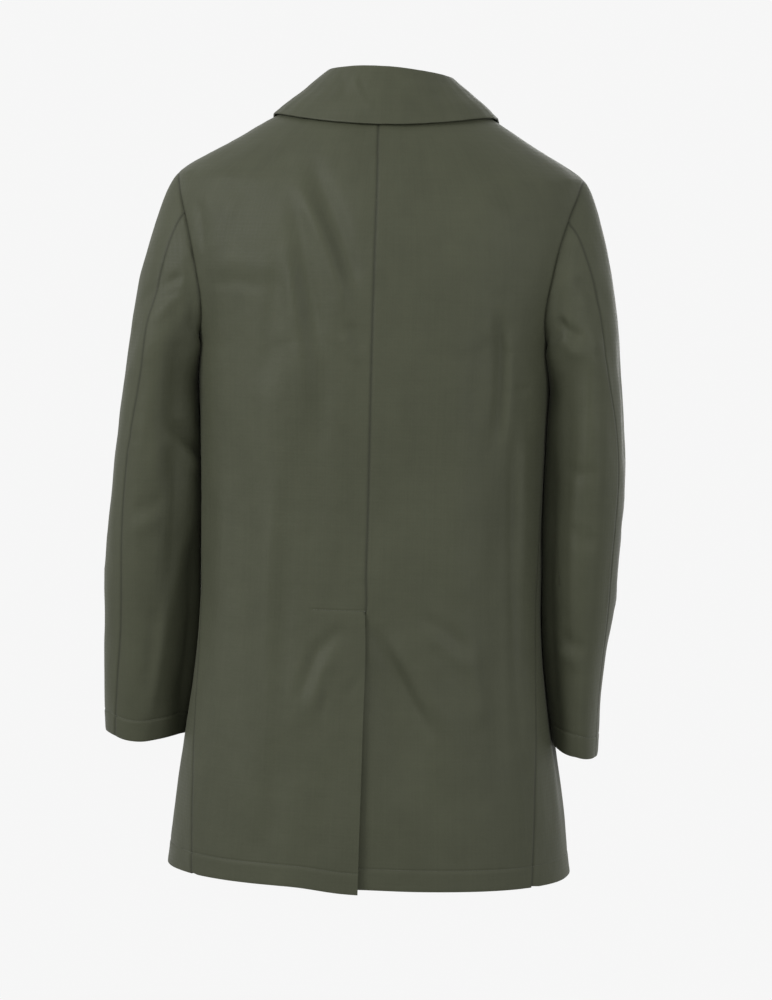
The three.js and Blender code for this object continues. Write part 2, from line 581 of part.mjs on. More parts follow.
// Points of the body's face with their normals, to keep the collar clear of it.
const BODY_SAMPLES = [];
for (let side = -190; side <= 0; side += 5) {
  for (let angle = -180; angle < 180; angle += 4) {
    BODY_SAMPLES.push({ point: bodyPoint(angle, side), normal: bodyNormal(angle, side) });
  }
}
function clearOfBody(point, clearance) {
  let nearest = BODY_SAMPLES[0];
  for (const sample of BODY_SAMPLES) {
    if (sample.point.distanceToSquared(point) < nearest.point.distanceToSquared(point)) nearest = sample;
  }
  const height = point.clone().sub(nearest.point).dot(nearest.normal);
  return point.addScaledVector(nearest.normal, Math.max(0, clearance - height));
}

function collarFall() {
  const faces = collarShares.map((place) => {
    const angle = collarAngle(place);
    const half = mirrored(angle);
    const over = column(COLLAR_EDGE, "roll", half, "angle");
    const side = column(COLLAR_EDGE, "roll", half, "side");
    const round = angle > 90 ? 180 - over : over;
    const edge = bodyPoint(round, side).addScaledVector(bodyNormal(round, side), COLLAR_CLEARANCE);
    const line = [nearRoll(angle, -ROLL_RADIUS, SEAM_GAP - ROLL_RADIUS - COLLAR_SEAM_DEPTH)];
    for (let k = 0; k <= ROLL_STEPS; k++) {
      const turn = rad(180 - (150 * k) / ROLL_STEPS);
      line.push(nearRoll(angle, ROLL_RADIUS * Math.cos(turn), ROLL_RADIUS * (Math.sin(turn) - 1)));
    }
    const brow = line.at(-1);
    for (let k = 1; k <= FALL_ROWS; k++) {
      const share = k / FALL_ROWS;
      const point = brow.clone().lerp(edge, share);
      point.addScaledVector(bodyNormal(round, side), COLLAR_CROWN * Math.sin(Math.PI * share));
      line.push(k < FALL_ROWS ? clearOfBody(point, COLLAR_CLEARANCE) : point);
    }
    return line;
  });
  const rows = faces[0].map((_, i) => faces.map((line) => line[i]));
  const spots = rows.map((row, i) =>
    row.map((outer, j) => {
      const round = row[Math.min(j + 1, row.length - 1)].clone().sub(row[Math.max(j - 1, 0)]);
      const down = rows[Math.min(i + 1, rows.length - 1)][j].clone().sub(rows[Math.max(i - 1, 0)][j]);
      return { outer, inner: outer.clone().addScaledVector(down.cross(round).normalize(), -WALL) };
    }),
  );
  return wallOf(spots, true);
}

// Buttons: flat discs with four holes, on the centre line of the wearer's left front

const circle = (radius, count, x = 0, y = 0) =>
  Array.from({ length: count }, (_, k) => {
    const turn = (2 * Math.PI * k) / count;
    return new THREE.Vector2(x + radius * Math.cos(turn), y + radius * Math.sin(turn));
  });

function buttonGeometry() {
  const shape = new THREE.Shape(circle(BUTTON.radius, 18));
  for (const [x, y] of [[1, 1], [-1, 1], [-1, -1], [1, -1]]) {
    const place = [x * BUTTON.holeReach, y * BUTTON.holeReach];
    shape.holes.push(new THREE.Path(circle(BUTTON.holeRadius, 5, ...place).reverse()));
  }
  return new THREE.ExtrudeGeometry(shape, { depth: BUTTON.thickness, bevelEnabled: false });
}

// The coat, put together

const plain = (name, color, roughness) =>
  new THREE.MeshStandardMaterial({ name, color, roughness, metalness: 0 });
const cloth = plain("bonded cotton", 0x50523f, 0.62);
const plastic = plain("button", 0x2e2f26, 0.38);

const coat = new THREE.Group();
function addPiece(name, geometry, material) {
  const mesh = new THREE.Mesh(geometry, material);
  mesh.name = name;
  coat.add(mesh);
  return mesh;
}

for (const [name, mirror] of [["left", 1], ["right", -1]]) {
  addPiece(`back_${name}`, backPanel(mirror), cloth);
  addPiece(`front_${name}`, frontPanel(mirror), cloth);
  addPiece(`sleeve_${name}_top`, sleevePanel(mirror, true), cloth);
  addPiece(`sleeve_${name}_under`, sleevePanel(mirror, false), cloth);
}
addPiece("collar_stand", collarStand(), cloth);
addPiece("collar_fall", collarFall(), cloth);

const buttonFace = buttonGeometry();
for (let k = 0; k < BUTTON.count; k++) {
  const button = addPiece(`button_${k + 1}`, buttonFace, plastic);
  const height = BUTTON.top - k * BUTTON.pitch;
  const drop = column(BODY_RINGS, "side", height, "frontDrop");
  const side = height + drop;
  const normal = bodyNormal(-90, side);
  button.position.copy(bodyPoint(-90, side)).addScaledVector(normal, SEAM_GAP);
  button.position.x += swayAt(button.position);
  button.quaternion.setFromUnitVectors(UP, normal);
}

export default coat;
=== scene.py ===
# %% [markdown]
# A short raincoat in bonded cotton, filled out as it is when worn.
# Every panel of the real coat is cut from one closely woven cloth with a rubbery bond behind it: it hangs
# in long, soft folds, takes few sharp creases and shows a quiet sheen. The CAD model has each panel as a
# plain wall. It is loaded here as a fixed frame, and each step below swaps one plain wall for a panel with
# folds, seams and stitches. Everything is in metres, in the CAD's own frame, so nothing needs fitting.

# %% Load the coat
from math import cos, pi, radians, sin

import bpy
import numpy as np
from mathutils import Matrix, Vector, noise
from mathutils.kdtree import KDTree


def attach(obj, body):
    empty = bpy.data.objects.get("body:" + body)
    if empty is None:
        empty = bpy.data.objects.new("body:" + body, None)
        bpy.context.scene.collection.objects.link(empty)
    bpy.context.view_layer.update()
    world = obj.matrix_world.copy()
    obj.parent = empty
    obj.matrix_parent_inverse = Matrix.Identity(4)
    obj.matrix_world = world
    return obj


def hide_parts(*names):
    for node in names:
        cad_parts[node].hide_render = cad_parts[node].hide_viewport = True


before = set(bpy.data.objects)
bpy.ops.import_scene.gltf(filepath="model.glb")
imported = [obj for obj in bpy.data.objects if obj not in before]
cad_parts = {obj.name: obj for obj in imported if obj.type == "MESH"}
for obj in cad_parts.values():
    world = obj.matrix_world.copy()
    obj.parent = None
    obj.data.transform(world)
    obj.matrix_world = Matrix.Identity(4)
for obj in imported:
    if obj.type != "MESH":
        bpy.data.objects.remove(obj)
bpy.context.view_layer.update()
MM = 0.001

# %% [markdown]
# The camera is made first, because the looks are judged through it.
# It stands behind the coat at about chest height, a little to the right of its middle, and looks slightly
# down. It is also turned a little about its own line of sight. A long lens keeps the coat's proportions.
# The camera's three directions are worked out as vectors and put into its matrix, which is exact and needs
# no trial and error.

# %% Camera
CAMERA_DISTANCE, CAMERA_HEIGHT = 3.3, -0.22
CAMERA_TURN, CAMERA_PITCH, CAMERA_ROLL = radians(4.5), radians(4.06), radians(1.5)
CAMERA_ASIDE = 8 / 2920  # how far the view is turned so that the coat stands a little left of the middle
CAMERA_LENS, CAMERA_SENSOR, CAMERA_FAR = 105.12, 36, 60


def camera_matrix():
    level = cos(CAMERA_PITCH)
    ahead = Vector((sin(CAMERA_TURN) * level, -cos(CAMERA_TURN) * level, -sin(CAMERA_PITCH)))
    right = Vector((-cos(CAMERA_TURN), -sin(CAMERA_TURN), 0))
    ahead = (ahead + right * CAMERA_ASIDE).normalized()
    right = (right - ahead * right.dot(ahead)).normalized()
    up = right.cross(ahead)
    rolled = right * cos(CAMERA_ROLL) + up * sin(CAMERA_ROLL)
    up = up * cos(CAMERA_ROLL) - right * sin(CAMERA_ROLL)
    place = Vector((-sin(CAMERA_TURN) * CAMERA_DISTANCE, cos(CAMERA_TURN) * CAMERA_DISTANCE, CAMERA_HEIGHT))
    return Matrix.Translation(place) @ Matrix((rolled, up, -ahead)).transposed().to_4x4()


bpy.ops.object.camera_add()
camera = bpy.context.object
camera.name = "camera"
camera.matrix_world = camera_matrix()
camera.data.lens = CAMERA_LENS
camera.data.sensor_width = CAMERA_SENSOR
camera.data.clip_end = CAMERA_FAR
bpy.context.scene.camera = camera
print(f"camera {camera.location.length:.2f} m from the collar")

# %% [markdown]
# The studio is a wide pale floor under a pale sky, with large soft lights.
# A photographer would hang a paper sweep behind the coat. A sweep would hide the coat from the other side,
# so the floor glows in the sky's own tone from a little way out, and the two meet without a line. The main
# light is large and stands high on the left of the camera, so the folds are shaded gently towards the
# right. A wider one fills in from the right, and one in front keeps that side readable. The two behind are
# aimed at the upper coat and spread little, so that the skirt is a touch darker.

# %% Floor, sky and lights
FLOOR_HEIGHT = -1.47
FLOOR_SIZE = 50
FLOOR_FADE = (0.7, 1.9)  # how far out the floor begins to glow, and where it is as bright as the sky
SKY = (1, 1, 1, 1)
SKY_STRENGTH = 0.925
LIGHTS = (  # name, place, size, power, how wide it spreads
    ("main_light", (2.8, 2.2, 1.3), 1.6, 22, 70),
    ("side_light", (-2.6, 2.9, 0.7), 1.8, 21, 100),
    ("front_light", (-0.4, -3.6, 0.3), 2.4, 62, 180),
)
AIM = Vector((0, 0, -0.12))

bpy.ops.mesh.primitive_plane_add(size=FLOOR_SIZE, location=(0, 0, FLOOR_HEIGHT))
floor = bpy.context.object
floor.name = "floor"

sky = bpy.data.worlds.new("sky")
bpy.context.scene.world = sky
sky.use_nodes = True
sky.node_tree.nodes["Background"].inputs["Color"].default_value = SKY
sky.node_tree.nodes["Background"].inputs["Strength"].default_value = SKY_STRENGTH

for name, place, size, power, spread in LIGHTS:
    bpy.ops.object.light_add(type="AREA", location=place)
    light = bpy.context.object
    light.name = name
    light.data.size = size
    light.data.energy = power
    light.data.spread = radians(spread)
    light.rotation_euler = (AIM - Vector(place)).to_track_quat("-Z", "Y").to_euler()

bpy.context.scene.view_settings.view_transform = "Standard"
print(f"{len(LIGHTS)} lights")

# %% [markdown]
# Materials are sums of patterns, and node trees are a slow way to write a sum.
# The small class below holds one output of a node. Adding, subtracting or multiplying two of them makes
# the Math node between them, so that a recipe reads like arithmetic. Any other node comes from one method,
# which is told the node's type, its settings and its inputs.

# %% A value in a material
class Value:
    """One output in a material's node tree, which can be used in sums."""

    def __init__(self, tree, socket=None):
        self.tree, self.socket = tree, socket

    def node(self, kind, settings=None, inputs=None, out=0):
        made = self.tree.nodes.new("ShaderNode" + kind)
        for key, setting in (settings or {}).items():
            setattr(made, key, setting)
        for key, value in (inputs or {}).items():
            self.feed(made.inputs[key], value)
        return Value(self.tree, made.outputs[out])

    def feed(self, entry, value):
        if isinstance(value, Value):
            self.tree.links.new(value.socket, entry)
        else:
            entry.default_value = value

    def math(self, operation, a, b=0.0):
        return self.node("Math", {"operation": operation}, {0: a, 1: b})

    def mix(self, a, b):
        """Colour a where this value is 0 and colour b where it is 1."""
        return self.node("Mix", {"data_type": "RGBA"}, {0: self, 6: a, 7: b}, out=2)

    def stretched(self, scale):
        return self.node("VectorMath", {"operation": "MULTIPLY"}, {0: self, 1: scale})

    def noise(self, scale, detail=2.0):
        """Soft random values from 0 to 1 at this place."""
        return self.node("TexNoise", None, {"Vector": self, "Scale": scale, "Detail": detail})

    def __add__(self, other):
        return self.math("ADD", self, other)

    def __sub__(self, other):
        return self.math("SUBTRACT", self, other)

    def __mul__(self, other):
        return self.math("MULTIPLY", self, other)

    __radd__ = __add__


def new_material(name):
    """A new material with its first value and its main shader."""
    material = bpy.data.materials.new(name)
    material.use_nodes = True
    return material, Value(material.node_tree), material.node_tree.nodes["Principled BSDF"]


floor_material, start, shader = new_material("floor_paper")
place = start.node("TexCoord", out=3)
middle_distance = place.node("VectorMath", {"operation": "LENGTH"}, {0: place}, out=1)
fade = {0: middle_distance, 1: FLOOR_FADE[0], 2: FLOOR_FADE[1]}
away = start.node("MapRange", {"interpolation_type": "SMOOTHSTEP"}, fade)
paper = place.noise(40).mix((0.43, 0.43, 0.43, 1), (0.45, 0.45, 0.45, 1))
sky_tone = tuple(channel * SKY_STRENGTH for channel in SKY[:3]) + (1,)
start.feed(shader.inputs["Base Color"], away.mix(paper, (0, 0, 0, 1)))
start.feed(shader.inputs["Emission Color"], away.mix((0, 0, 0, 1), sky_tone))
shader.inputs["Emission Strength"].default_value = 1.0
shader.inputs["Specular IOR Level"].default_value = 0.0
shader.inputs["Roughness"].default_value = 0.9
floor.data.materials.append(floor_material)
print("floor paper")

# %% [markdown]
# Bonded cotton is a dark olive cloth of fine, tight threads.
# Close up there are two sets of threads, one up the coat and one round it. They are two wave patterns
# along the cloth's own flat coordinates, which are stored in metres with each panel. From further off the
# dye is slightly uneven, in soft patches and in faint upright and level streaks where some threads took it
# more. The bond gives the cloth a soft sheen at glancing angles, and it makes the surface a little uneven,
# which is the bump. Along each seam the colour is darkened with painted shade, where the seam's dip would
# lie in shade: each panel carries a value for that as well.

# %% Bonded cotton
OLIVE_DARK, OLIVE_LIGHT = (0.0278, 0.0300, 0.0180, 1), (0.0438, 0.0471, 0.0292, 1)
# painted shade: the dark colour mixed in along each seam, standing in for the shade in the seam's dip
PAINTED_SEAM_SHADE_COLOUR = (0.008, 0.0085, 0.005, 1)
THREADS_PER_METRE = 1500
BANDS_PER_SCALE = 20  # a wave pattern's bands in a metre, for each unit of its scale
UPRIGHT, LEVEL = (260, 7, 1), (9, 300, 1)  # how much each kind of streak is squeezed across and along

cotton, start, shader = new_material("bonded_cotton")
flat = start.node("TexCoord", out=2)
around = start.node("TexCoord", out=3)
threads = {"Vector": flat, "Scale": THREADS_PER_METRE / BANDS_PER_SCALE, "Distortion": 0.6}
threads["Detail Scale"] = 2.0
up_threads, round_threads = (start.node("TexWave", {"bands_direction": way}, threads) for way in "XY")
weave = (up_threads + round_threads) * 0.5
streaks = flat.stretched(UPRIGHT).noise(1.0, 3) * 0.6 + flat.stretched(LEVEL).noise(1.0, 3) * 0.4
patches = around.noise(9, 3) * 0.6 + around.noise(38, 4) * 0.4
speckle = around.noise(700, 1)
tone = streaks * 0.5 + patches * 1.1 + speckle * 0.3 + weave * 0.1 - 0.38
# the seam value paints shade into the cloth's colour along each seam
seam = start.node("Attribute", {"attribute_name": "seam"}, out=2)
dyed = tone.mix(OLIVE_DARK, OLIVE_LIGHT)
start.feed(shader.inputs["Base Color"], (seam * 0.55).mix(dyed, PAINTED_SEAM_SHADE_COLOUR))
start.feed(shader.inputs["Roughness"], 0.5 + patches * 0.12 + weave * 0.08)
shader.inputs["Sheen Weight"].default_value = 0.06
shader.inputs["Sheen Roughness"].default_value = 0.45
shader.inputs["Sheen Tint"].default_value = (0.75, 0.77, 0.66, 1)
shader.inputs["Specular IOR Level"].default_value = 0.15
relief = weave * 0.03 + speckle * 0.05 + around.noise(110, 3) * 0.34 + around.noise(34, 2) * 0.7
bump = start.node("Bump", None, {"Height": relief, "Distance": MM, "Strength": 0.8})
start.feed(shader.inputs["Normal"], bump)
print(f"bonded cotton, {THREADS_PER_METRE / 1000:g} threads a millimetre")

# %% [markdown]
# The buttons are pressed from a dark, slightly marbled plastic, and everything is sewn with an olive
# thread. The plastic has cloudy veins and a soft polish, so its roughness varies with the veins. The
# thread is the cotton's colour and a little darker, with a fine twist as relief.

# %% Button plastic and thread
FINE_RELIEF = 0.05 * MM

plastic, start, shader = new_material("button_plastic")
around = start.node("TexCoord", out=3)
veins = around.stretched((1, 1, 2.4)).noise(130, 4)
start.feed(shader.inputs["Base Color"], veins.mix((0.012, 0.011, 0.008, 1), (0.05, 0.045, 0.032, 1)))
start.feed(shader.inputs["Roughness"], 0.25 + veins * 0.22)
shader.inputs["Coat Weight"].default_value = 0.15
bump = start.node("Bump", None, {"Height": around.noise(420), "Distance": FINE_RELIEF})
start.feed(shader.inputs["Normal"], bump)

thread, start, shader = new_material("olive_thread")
around = start.node("TexCoord", out=3)
twist = start.node("TexWave", {"bands_direction": "DIAGONAL"}, {"Vector": around, "Scale": 900})
start.feed(shader.inputs["Base Color"], twist.mix((0.03, 0.032, 0.021, 1), (0.06, 0.063, 0.044, 1)))
shader.inputs["Roughness"].default_value = 0.6
start.feed(shader.inputs["Normal"], start.node("Bump", None, {"Height": twist, "Distance": FINE_RELIEF}))
print("button plastic and thread")

# %% [markdown]
# Each panel starts as the outer skin of its CAD wall.
# A wall has two faces and narrow rims that join them. The rims are easy to find, because their triangles
# have a side as short as the wall is thick. Without them the wall falls into two loose skins, of which the
# outer one is the larger. Pairs of triangles are joined back into the squares that they came from, because
# squares are what a subdivision surface smooths well.

# %% The outer skin of a wall
SAME_PLACE = 0.02 * MM


def alone(piece):
    """Makes piece the only selected object, and the active one."""
    bpy.ops.object.select_all(action="DESELECT")
    piece.select_set(True)
    bpy.context.view_layer.objects.active = piece


def editing(piece, *steps):
    """Runs these edit-mode steps on all of piece."""
    alone(piece)
    bpy.ops.object.mode_set(mode="EDIT")
    bpy.ops.mesh.select_mode(type="VERT")
    bpy.ops.mesh.select_all(action="SELECT")
    for step in steps:
        step()
    bpy.ops.object.mode_set(mode="OBJECT")


def spots(piece):
    """The places of the mesh's vertices, as rows of three numbers."""
    rows = np.empty(len(piece.data.vertices) * 3, np.float32)
    piece.data.vertices.foreach_get("co", rows)
    return rows.reshape(-1, 3).astype(float)


def move_to(piece, rows):
    piece.data.vertices.foreach_set("co", np.asarray(rows, np.float32).ravel())
    piece.data.update()


def area_of(piece):
    return sum(face.area for face in piece.data.polygons)


def new_object(name, mesh):
    made = bpy.data.objects.new(name, mesh)
    bpy.context.scene.collection.objects.link(made)
    return made


def outer_skin(node, name, rim):
    piece = new_object(name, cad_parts[node].data.copy())
    alone(piece)
    bpy.ops.mesh.customdata_custom_splitnormals_clear()
    editing(
        piece,
        lambda: bpy.ops.mesh.remove_doubles(threshold=SAME_PLACE),
        lambda: bpy.ops.mesh.select_mode(type="FACE"),
        lambda: bpy.ops.mesh.select_all(action="DESELECT"),
    )
    places = spots(piece)
    for face in piece.data.polygons:
        corners = places[list(face.vertices)]
        face.select = bool(np.linalg.norm(corners - np.roll(corners, 1, 0), axis=1).min() < rim)
    bpy.ops.object.mode_set(mode="EDIT")
    bpy.ops.mesh.delete(type="FACE")
    bpy.ops.mesh.select_all(action="SELECT")
    bpy.ops.mesh.separate(type="LOOSE")
    bpy.ops.object.mode_set(mode="OBJECT")
    skins = sorted(bpy.context.selected_objects, key=area_of)
    kept = skins.pop()
    for spare in skins:
        bpy.data.objects.remove(spare)
    kept.name = name
    editing(kept, lambda: bpy.ops.mesh.tris_convert_to_quads(face_threshold=pi, shape_threshold=pi))
    return kept


# %% [markdown]
# The skin is smoothed with a subdivision surface.
# Such a surface normally shrinks away from the points that it is given, and two panels that share a seam
# would pull apart. So the points are first pushed out by as much as the surface falls short of them, a few
# times over, and the smooth cloth then passes through the CAD's own points. Some smoothing afterwards
# takes out what the uneven sizes of the squares leave. Where a curve is tight, each step of it is followed
# by a slightly larger step back, because smoothing alone makes a tight curve shrink.

# %% Smooth the skin
FINENESS = 3
SMOOTH_OUT, SMOOTH_BACK = 0.5, -0.52
CAGE_PASSES = 6


def relax(piece, times, keep_size):
    """Evens out the cloth inside its edges. A step back after each step keeps small curves from shrinking."""
    alone(piece)
    bpy.ops.object.mode_set(mode="EDIT")
    bpy.ops.mesh.select_mode(type="VERT")
    bpy.ops.mesh.select_all(action="DESELECT")
    bpy.ops.mesh.select_non_manifold()
    bpy.ops.mesh.select_all(action="INVERT")
    for _ in range(times):
        bpy.ops.mesh.vertices_smooth(factor=SMOOTH_OUT)
        if keep_size:
            bpy.ops.mesh.vertices_smooth(factor=SMOOTH_BACK)
    bpy.ops.object.mode_set(mode="OBJECT")


def smooth_skin(piece, relaxed):
    smoother = piece.modifiers.new("smooth", "SUBSURF")
    smoother.levels = FINENESS
    smoother.boundary_smooth = "PRESERVE_CORNERS"
    wanted = spots(piece)
    for _ in range(CAGE_PASSES):
        shown = piece.evaluated_get(bpy.context.evaluated_depsgraph_get())
        reached = spots(shown)[: len(wanted)]
        move_to(piece, spots(piece) + wanted - reached)
        bpy.context.view_layer.update()
    reached = spots(piece.evaluated_get(bpy.context.evaluated_depsgraph_get()))[: len(wanted)]
    alone(piece)
    bpy.ops.object.modifier_apply(modifier=smoother.name)
    relax(piece, relaxed, keep_size=False)
    return np.abs(wanted - reached).max()


# %% [markdown]
# A panel's edges are of two kinds: some are sewn to the next panel, and some are free.
# The free ones are the hem, the cuffs, the vent, the two fronts and the collar's outer edge. Both kinds
# are found among the edges that have a face on one side only. A k-d tree then gives every point of the
# cloth its distance to the nearest sewn edge and to the nearest free one, which all the sewing details are
# made from.

# %% Sewn and free edges
FAR = 1.0
HEM_BELOW, CUFF_BELOW = -0.86, -0.7
HEM_SLOPE, CUFF_SLOPE = 0.4, 0.7  # no part of a hem or cuff is steeper
VENT_TOP, VENT_RIGHT, VENT_LEFT = -0.567, -0.006, 0.058
FRONT_EDGE, FRONT_SWAY = 0.03, 0.009  # how far the fronts' edges are from the middle, more or less
COLLAR_REACH, COLLAR_MEETS = 0.08, 0.012


def border(piece):
    """The pairs of places at the ends of each border edge."""
    mesh = piece.data
    sides = np.empty(len(mesh.loops), np.int32)
    mesh.loops.foreach_get("edge_index", sides)
    ends = np.empty(len(mesh.edges) * 2, np.int32)
    mesh.edges.foreach_get("vertices", ends)
    lone = np.bincount(sides, minlength=len(mesh.edges)) == 1
    return spots(piece)[ends.reshape(-1, 2)[lone]]


def tree_of(places):
    tree = KDTree(len(places))
    for index, place in enumerate(places):
        tree.insert(place, index)
    tree.balance()
    return tree


def marks_along(edges, shares):
    """Closely spaced places along these edges."""
    return np.concatenate([edges[:, 0] * (1 - t) + edges[:, 1] * t for t in shares])


def distance_to(piece, edges):
    """How far each vertex of piece is from these edges."""
    if not len(edges):
        return np.full(len(piece.data.vertices), FAR)
    tree = tree_of(marks_along(edges, (0, 0.25, 0.5, 0.75)))
    return np.array([tree.find(place)[2] for place in spots(piece)])


def is_hem(middle, run):
    return (middle[:, 2] < HEM_BELOW) & (abs(run[:, 2]) < HEM_SLOPE)


def is_cuff(middle, run):
    return (middle[:, 2] < CUFF_BELOW) & (abs(run[:, 2]) < CUFF_SLOPE)


def is_vent(middle, run):
    beside = (middle[:, 0] > VENT_RIGHT) & (middle[:, 0] < VENT_LEFT)
    return beside & (middle[:, 1] > 0) & (middle[:, 2] < VENT_TOP - 2 * MM)


def is_front_edge(middle, run):
    upright = abs(run[:, 2]) > 0.5
    return upright & (middle[:, 1] < 0) & (abs(abs(middle[:, 0]) - FRONT_EDGE) < FRONT_SWAY)


def is_collar_edge(middle, run):
    outer = np.hypot(middle[:, 0], middle[:, 1]) > COLLAR_REACH
    return outer | ((middle[:, 1] < 0) & (abs(middle[:, 0]) < COLLAR_MEETS))


def split_border(piece, tests):
    """The border edges that pass one of the tests, and the others."""
    edges = border(piece)
    middle = edges.mean(1)
    run = edges[:, 1] - edges[:, 0]
    run /= np.linalg.norm(run, axis=1)[:, None] + 1e-12
    free = np.zeros(len(edges), bool)
    for test in tests:
        free |= test(middle, run)
    return edges[free], edges[~free]


# %% [markdown]
# A turned hem is held by a row of stitches, which presses a fine groove into the cloth.
# The mesh needs a few rows of points along that row, at an even distance from the hem, even where the hem
# isn't level. A straight cut would not follow it. So the height of each point is swapped for its distance
# to the hem, the cloth is cut at a level of that distance, and then the points go back home. The place
# that each point came from is stored on the mesh, and Blender works it out for the new points as well.

# %% Rows of points along a line
def add_rows(piece, reach, levels):
    """Cuts the cloth where reach, one number for each vertex, has these values."""
    home = piece.data.attributes.new("home", "FLOAT_VECTOR", "POINT")
    places = spots(piece)
    home.data.foreach_set("vector", places.astype(np.float32).ravel())
    places[:, 2] = reach
    move_to(piece, places)
    alone(piece)
    bpy.ops.object.mode_set(mode="EDIT")
    for level in levels:
        bpy.ops.mesh.select_all(action="SELECT")
        bpy.ops.mesh.bisect(plane_co=(0, 0, level), plane_no=(0, 0, 1), threshold=SAME_PLACE)
    bpy.ops.object.mode_set(mode="OBJECT")
    home = piece.data.attributes["home"]
    rows = np.empty(len(piece.data.vertices) * 3, np.float32)
    home.data.foreach_get("vector", rows)
    move_to(piece, rows)
    piece.data.attributes.remove(home)


# %% [markdown]
# Folds are listed one by one, because a simulation would not put them where this coat has them.
# Each fold is a line on the coat as seen from one side, with a width and a rise in millimetres: positive
# for a soft ridge and negative for a trough. A ridge with a trough beside it reads as a fold that leans
# over. Every point of the cloth is moved along its own normal by the sum of all the folds near it. A fold
# dies out at its ends, and where the cloth turns away from the side that it was drawn on.

# %% Folds
BACK_FOLDS = (
    # upper back, wearer's left: the pull from the neck down over the shoulder blade
    ([(80, -66), (64, -104), (42, -150), (26, -196), (18, -232)], 11, -3.4),
    ([(92, -92), (77, -124), (52, -174), (34, -222), (28, -262)], 9, 3.0),
    ([(92, -110), (84, -150), (74, -204), (62, -262), (56, -300)], 11, -3.0),
    ([(102, -160), (90, -214), (81, -256), (74, -310), (70, -360)], 11, 2.8),
    ([(104, -175), (108, -225), (112, -282), (118, -340)], 13, -2.2),
    ([(195, -197), (160, -190), (126, -194), (95, -204)], 10, 0.9),
    ([(190, -216), (150, -212), (112, -220)], 8, -0.9),
    ([(201, -150), (198, -190), (200, -236)], 5, 1.4),
    ([(24, -250), (16, -272), (4, -286)], 6, -1.4),
    ([(34, -262), (22, -286), (6, -300)], 6, 1.2),
    ([(58, -262), (52, -330), (56, -410)], 13, -1.2),
    ([(150, -110), (176, -150), (190, -196)], 14, 1.4),
    ([(204, -118), (197, -150), (194, -184)], 6, -1.8),
    ([(192, -190), (186, -232), (187, -290)], 9, -1.3),
    # the long drapes below it
    ([(185, -390), (186, -567), (184, -750)], 13, -1.6),
    ([(165, -420), (162, -600), (166, -790)], 12, 1.3),
    ([(133, -370), (134, -561), (133, -790)], 15, -1.6),
    ([(108, -420), (110, -600), (112, -740)], 13, 1.4),
    ([(88, -372), (90, -558), (89, -740)], 12, -1.2),
    ([(40, -300), (36, -430), (34, -545)], 18, 1.2),
    # wearer's right
    ([(-96, -96), (-128, -128), (-160, -152)], 12, 1.3),
    ([(-195, -140), (-198, -170), (-194, -205)], 6, -1.8),
    ([(-120, -215), (-128, -270), (-127, -330), (-124, -390)], 8, 1.6),
    ([(-133, -228), (-139, -279), (-139, -333), (-136, -392)], 6, -2.6),
    ([(-147, -250), (-149, -330), (-148, -420)], 8, 1.7),
    ([(-151, -340), (-155, -405), (-157, -509), (-162, -608), (-167, -706)], 5, -2.2),
    ([(-163, -350), (-167, -450), (-170, -560)], 7, 1.6),
    ([(-153, -317), (-163, -322), (-174, -317)], 4, -1.3),
    ([(-60, -240), (-66, -380), (-64, -500)], 20, -1.0),
    ([(-96, -420), (-100, -500), (-104, -570)], 14, 1.2),
    ([(-52, -569), (-87, -587), (-120, -612)], 8, -1.6),
    ([(-60, -585), (-90, -604), (-118, -632)], 8, 1.3),
    ([(-2, -574), (-26, -618), (-50, -662), (-84, -712)], 8, -2.8),
    ([(-22, -590), (-58, -640), (-96, -700)], 10, 1.8),
    ([(-20, -600), (-36, -680), (-48, -790)], 27, -3.6),
    ([(-112, -596), (-125, -645), (-132, -700)], 9, 1.6),
    ([(-140, -600), (-147, -680), (-152, -760)], 10, -1.2),
    ([(-165, -650), (-171, -708), (-186, -754), (-192, -862)], 7, -2.0),
    # the vent's flap
    ([(12, -586), (34, -594), (52, -612), (74, -676)], 7, -2.4),
    ([(26, -608), (44, -634), (60, -690)], 8, 1.9),
    ([(2, -632), (10, -648), (22, -664)], 3.5, -1.0),
    ([(36, -655), (44, -672), (46, -690)], 4, -0.9),
    ([(88, -690), (96, -770), (98, -850)], 14, -1.2),
    ([(30, -720), (36, -790), (38, -850)], 16, -1.0),
)
FRONT_FOLDS = (
    ([(98, -130), (84, -190), (78, -260)], 9, -2.0),
    ([(112, -150), (102, -220), (98, -300)], 9, 1.8),
    ([(134, -140), (128, -210), (136, -290)], 12, -1.6),
    ([(176, -170), (168, -240), (176, -320)], 10, -1.6),
    ([(60, -180), (52, -280), (54, -380)], 13, 1.2),
    ([(128, -380), (134, -540), (140, -760)], 13, -1.7),
    ([(152, -400), (158, -560), (166, -800)], 13, 1.4),
    ([(90, -420), (88, -600), (94, -820)], 15, -1.2),
    ([(180, -440), (184, -620), (192, -840)], 12, -1.5),
    ([(50, -470), (50, -620), (56, -820)], 16, 1.1),
    ([(-92, -128), (-80, -200), (-80, -262)], 9, -2.1),
    ([(-108, -150), (-98, -226), (-96, -300)], 10, 1.8),
    ([(-140, -150), (-132, -226), (-140, -300)], 12, -1.5),
    ([(-180, -180), (-172, -250), (-178, -330)], 10, -1.6),
    ([(-70, -300), (-64, -420), (-70, -520)], 14, -1.2),
    ([(-120, -360), (-128, -520), (-134, -740)], 12, -1.8),
    ([(-146, -380), (-150, -560), (-160, -790)], 12, 1.5),
    ([(-180, -420), (-186, -610), (-194, -830)], 12, -1.5),
    ([(-88, -540), (-94, -680), (-100, -830)], 15, -1.2),
)
SIDE_FOLDS = (  # seen from either side, as distance behind the middle and height
    ([(-10, -300), (-4, -420), (-16, -560)], 12, -1.6),
    ([(44, -310), (30, -420), (36, -540)], 10, -1.5),
    ([(-40, -420), (-46, -580), (-56, -780)], 14, 1.4),
    ([(10, -520), (14, -660), (20, -840)], 14, -1.5),
    ([(70, -600), (84, -720), (96, -850)], 13, 1.3),
)
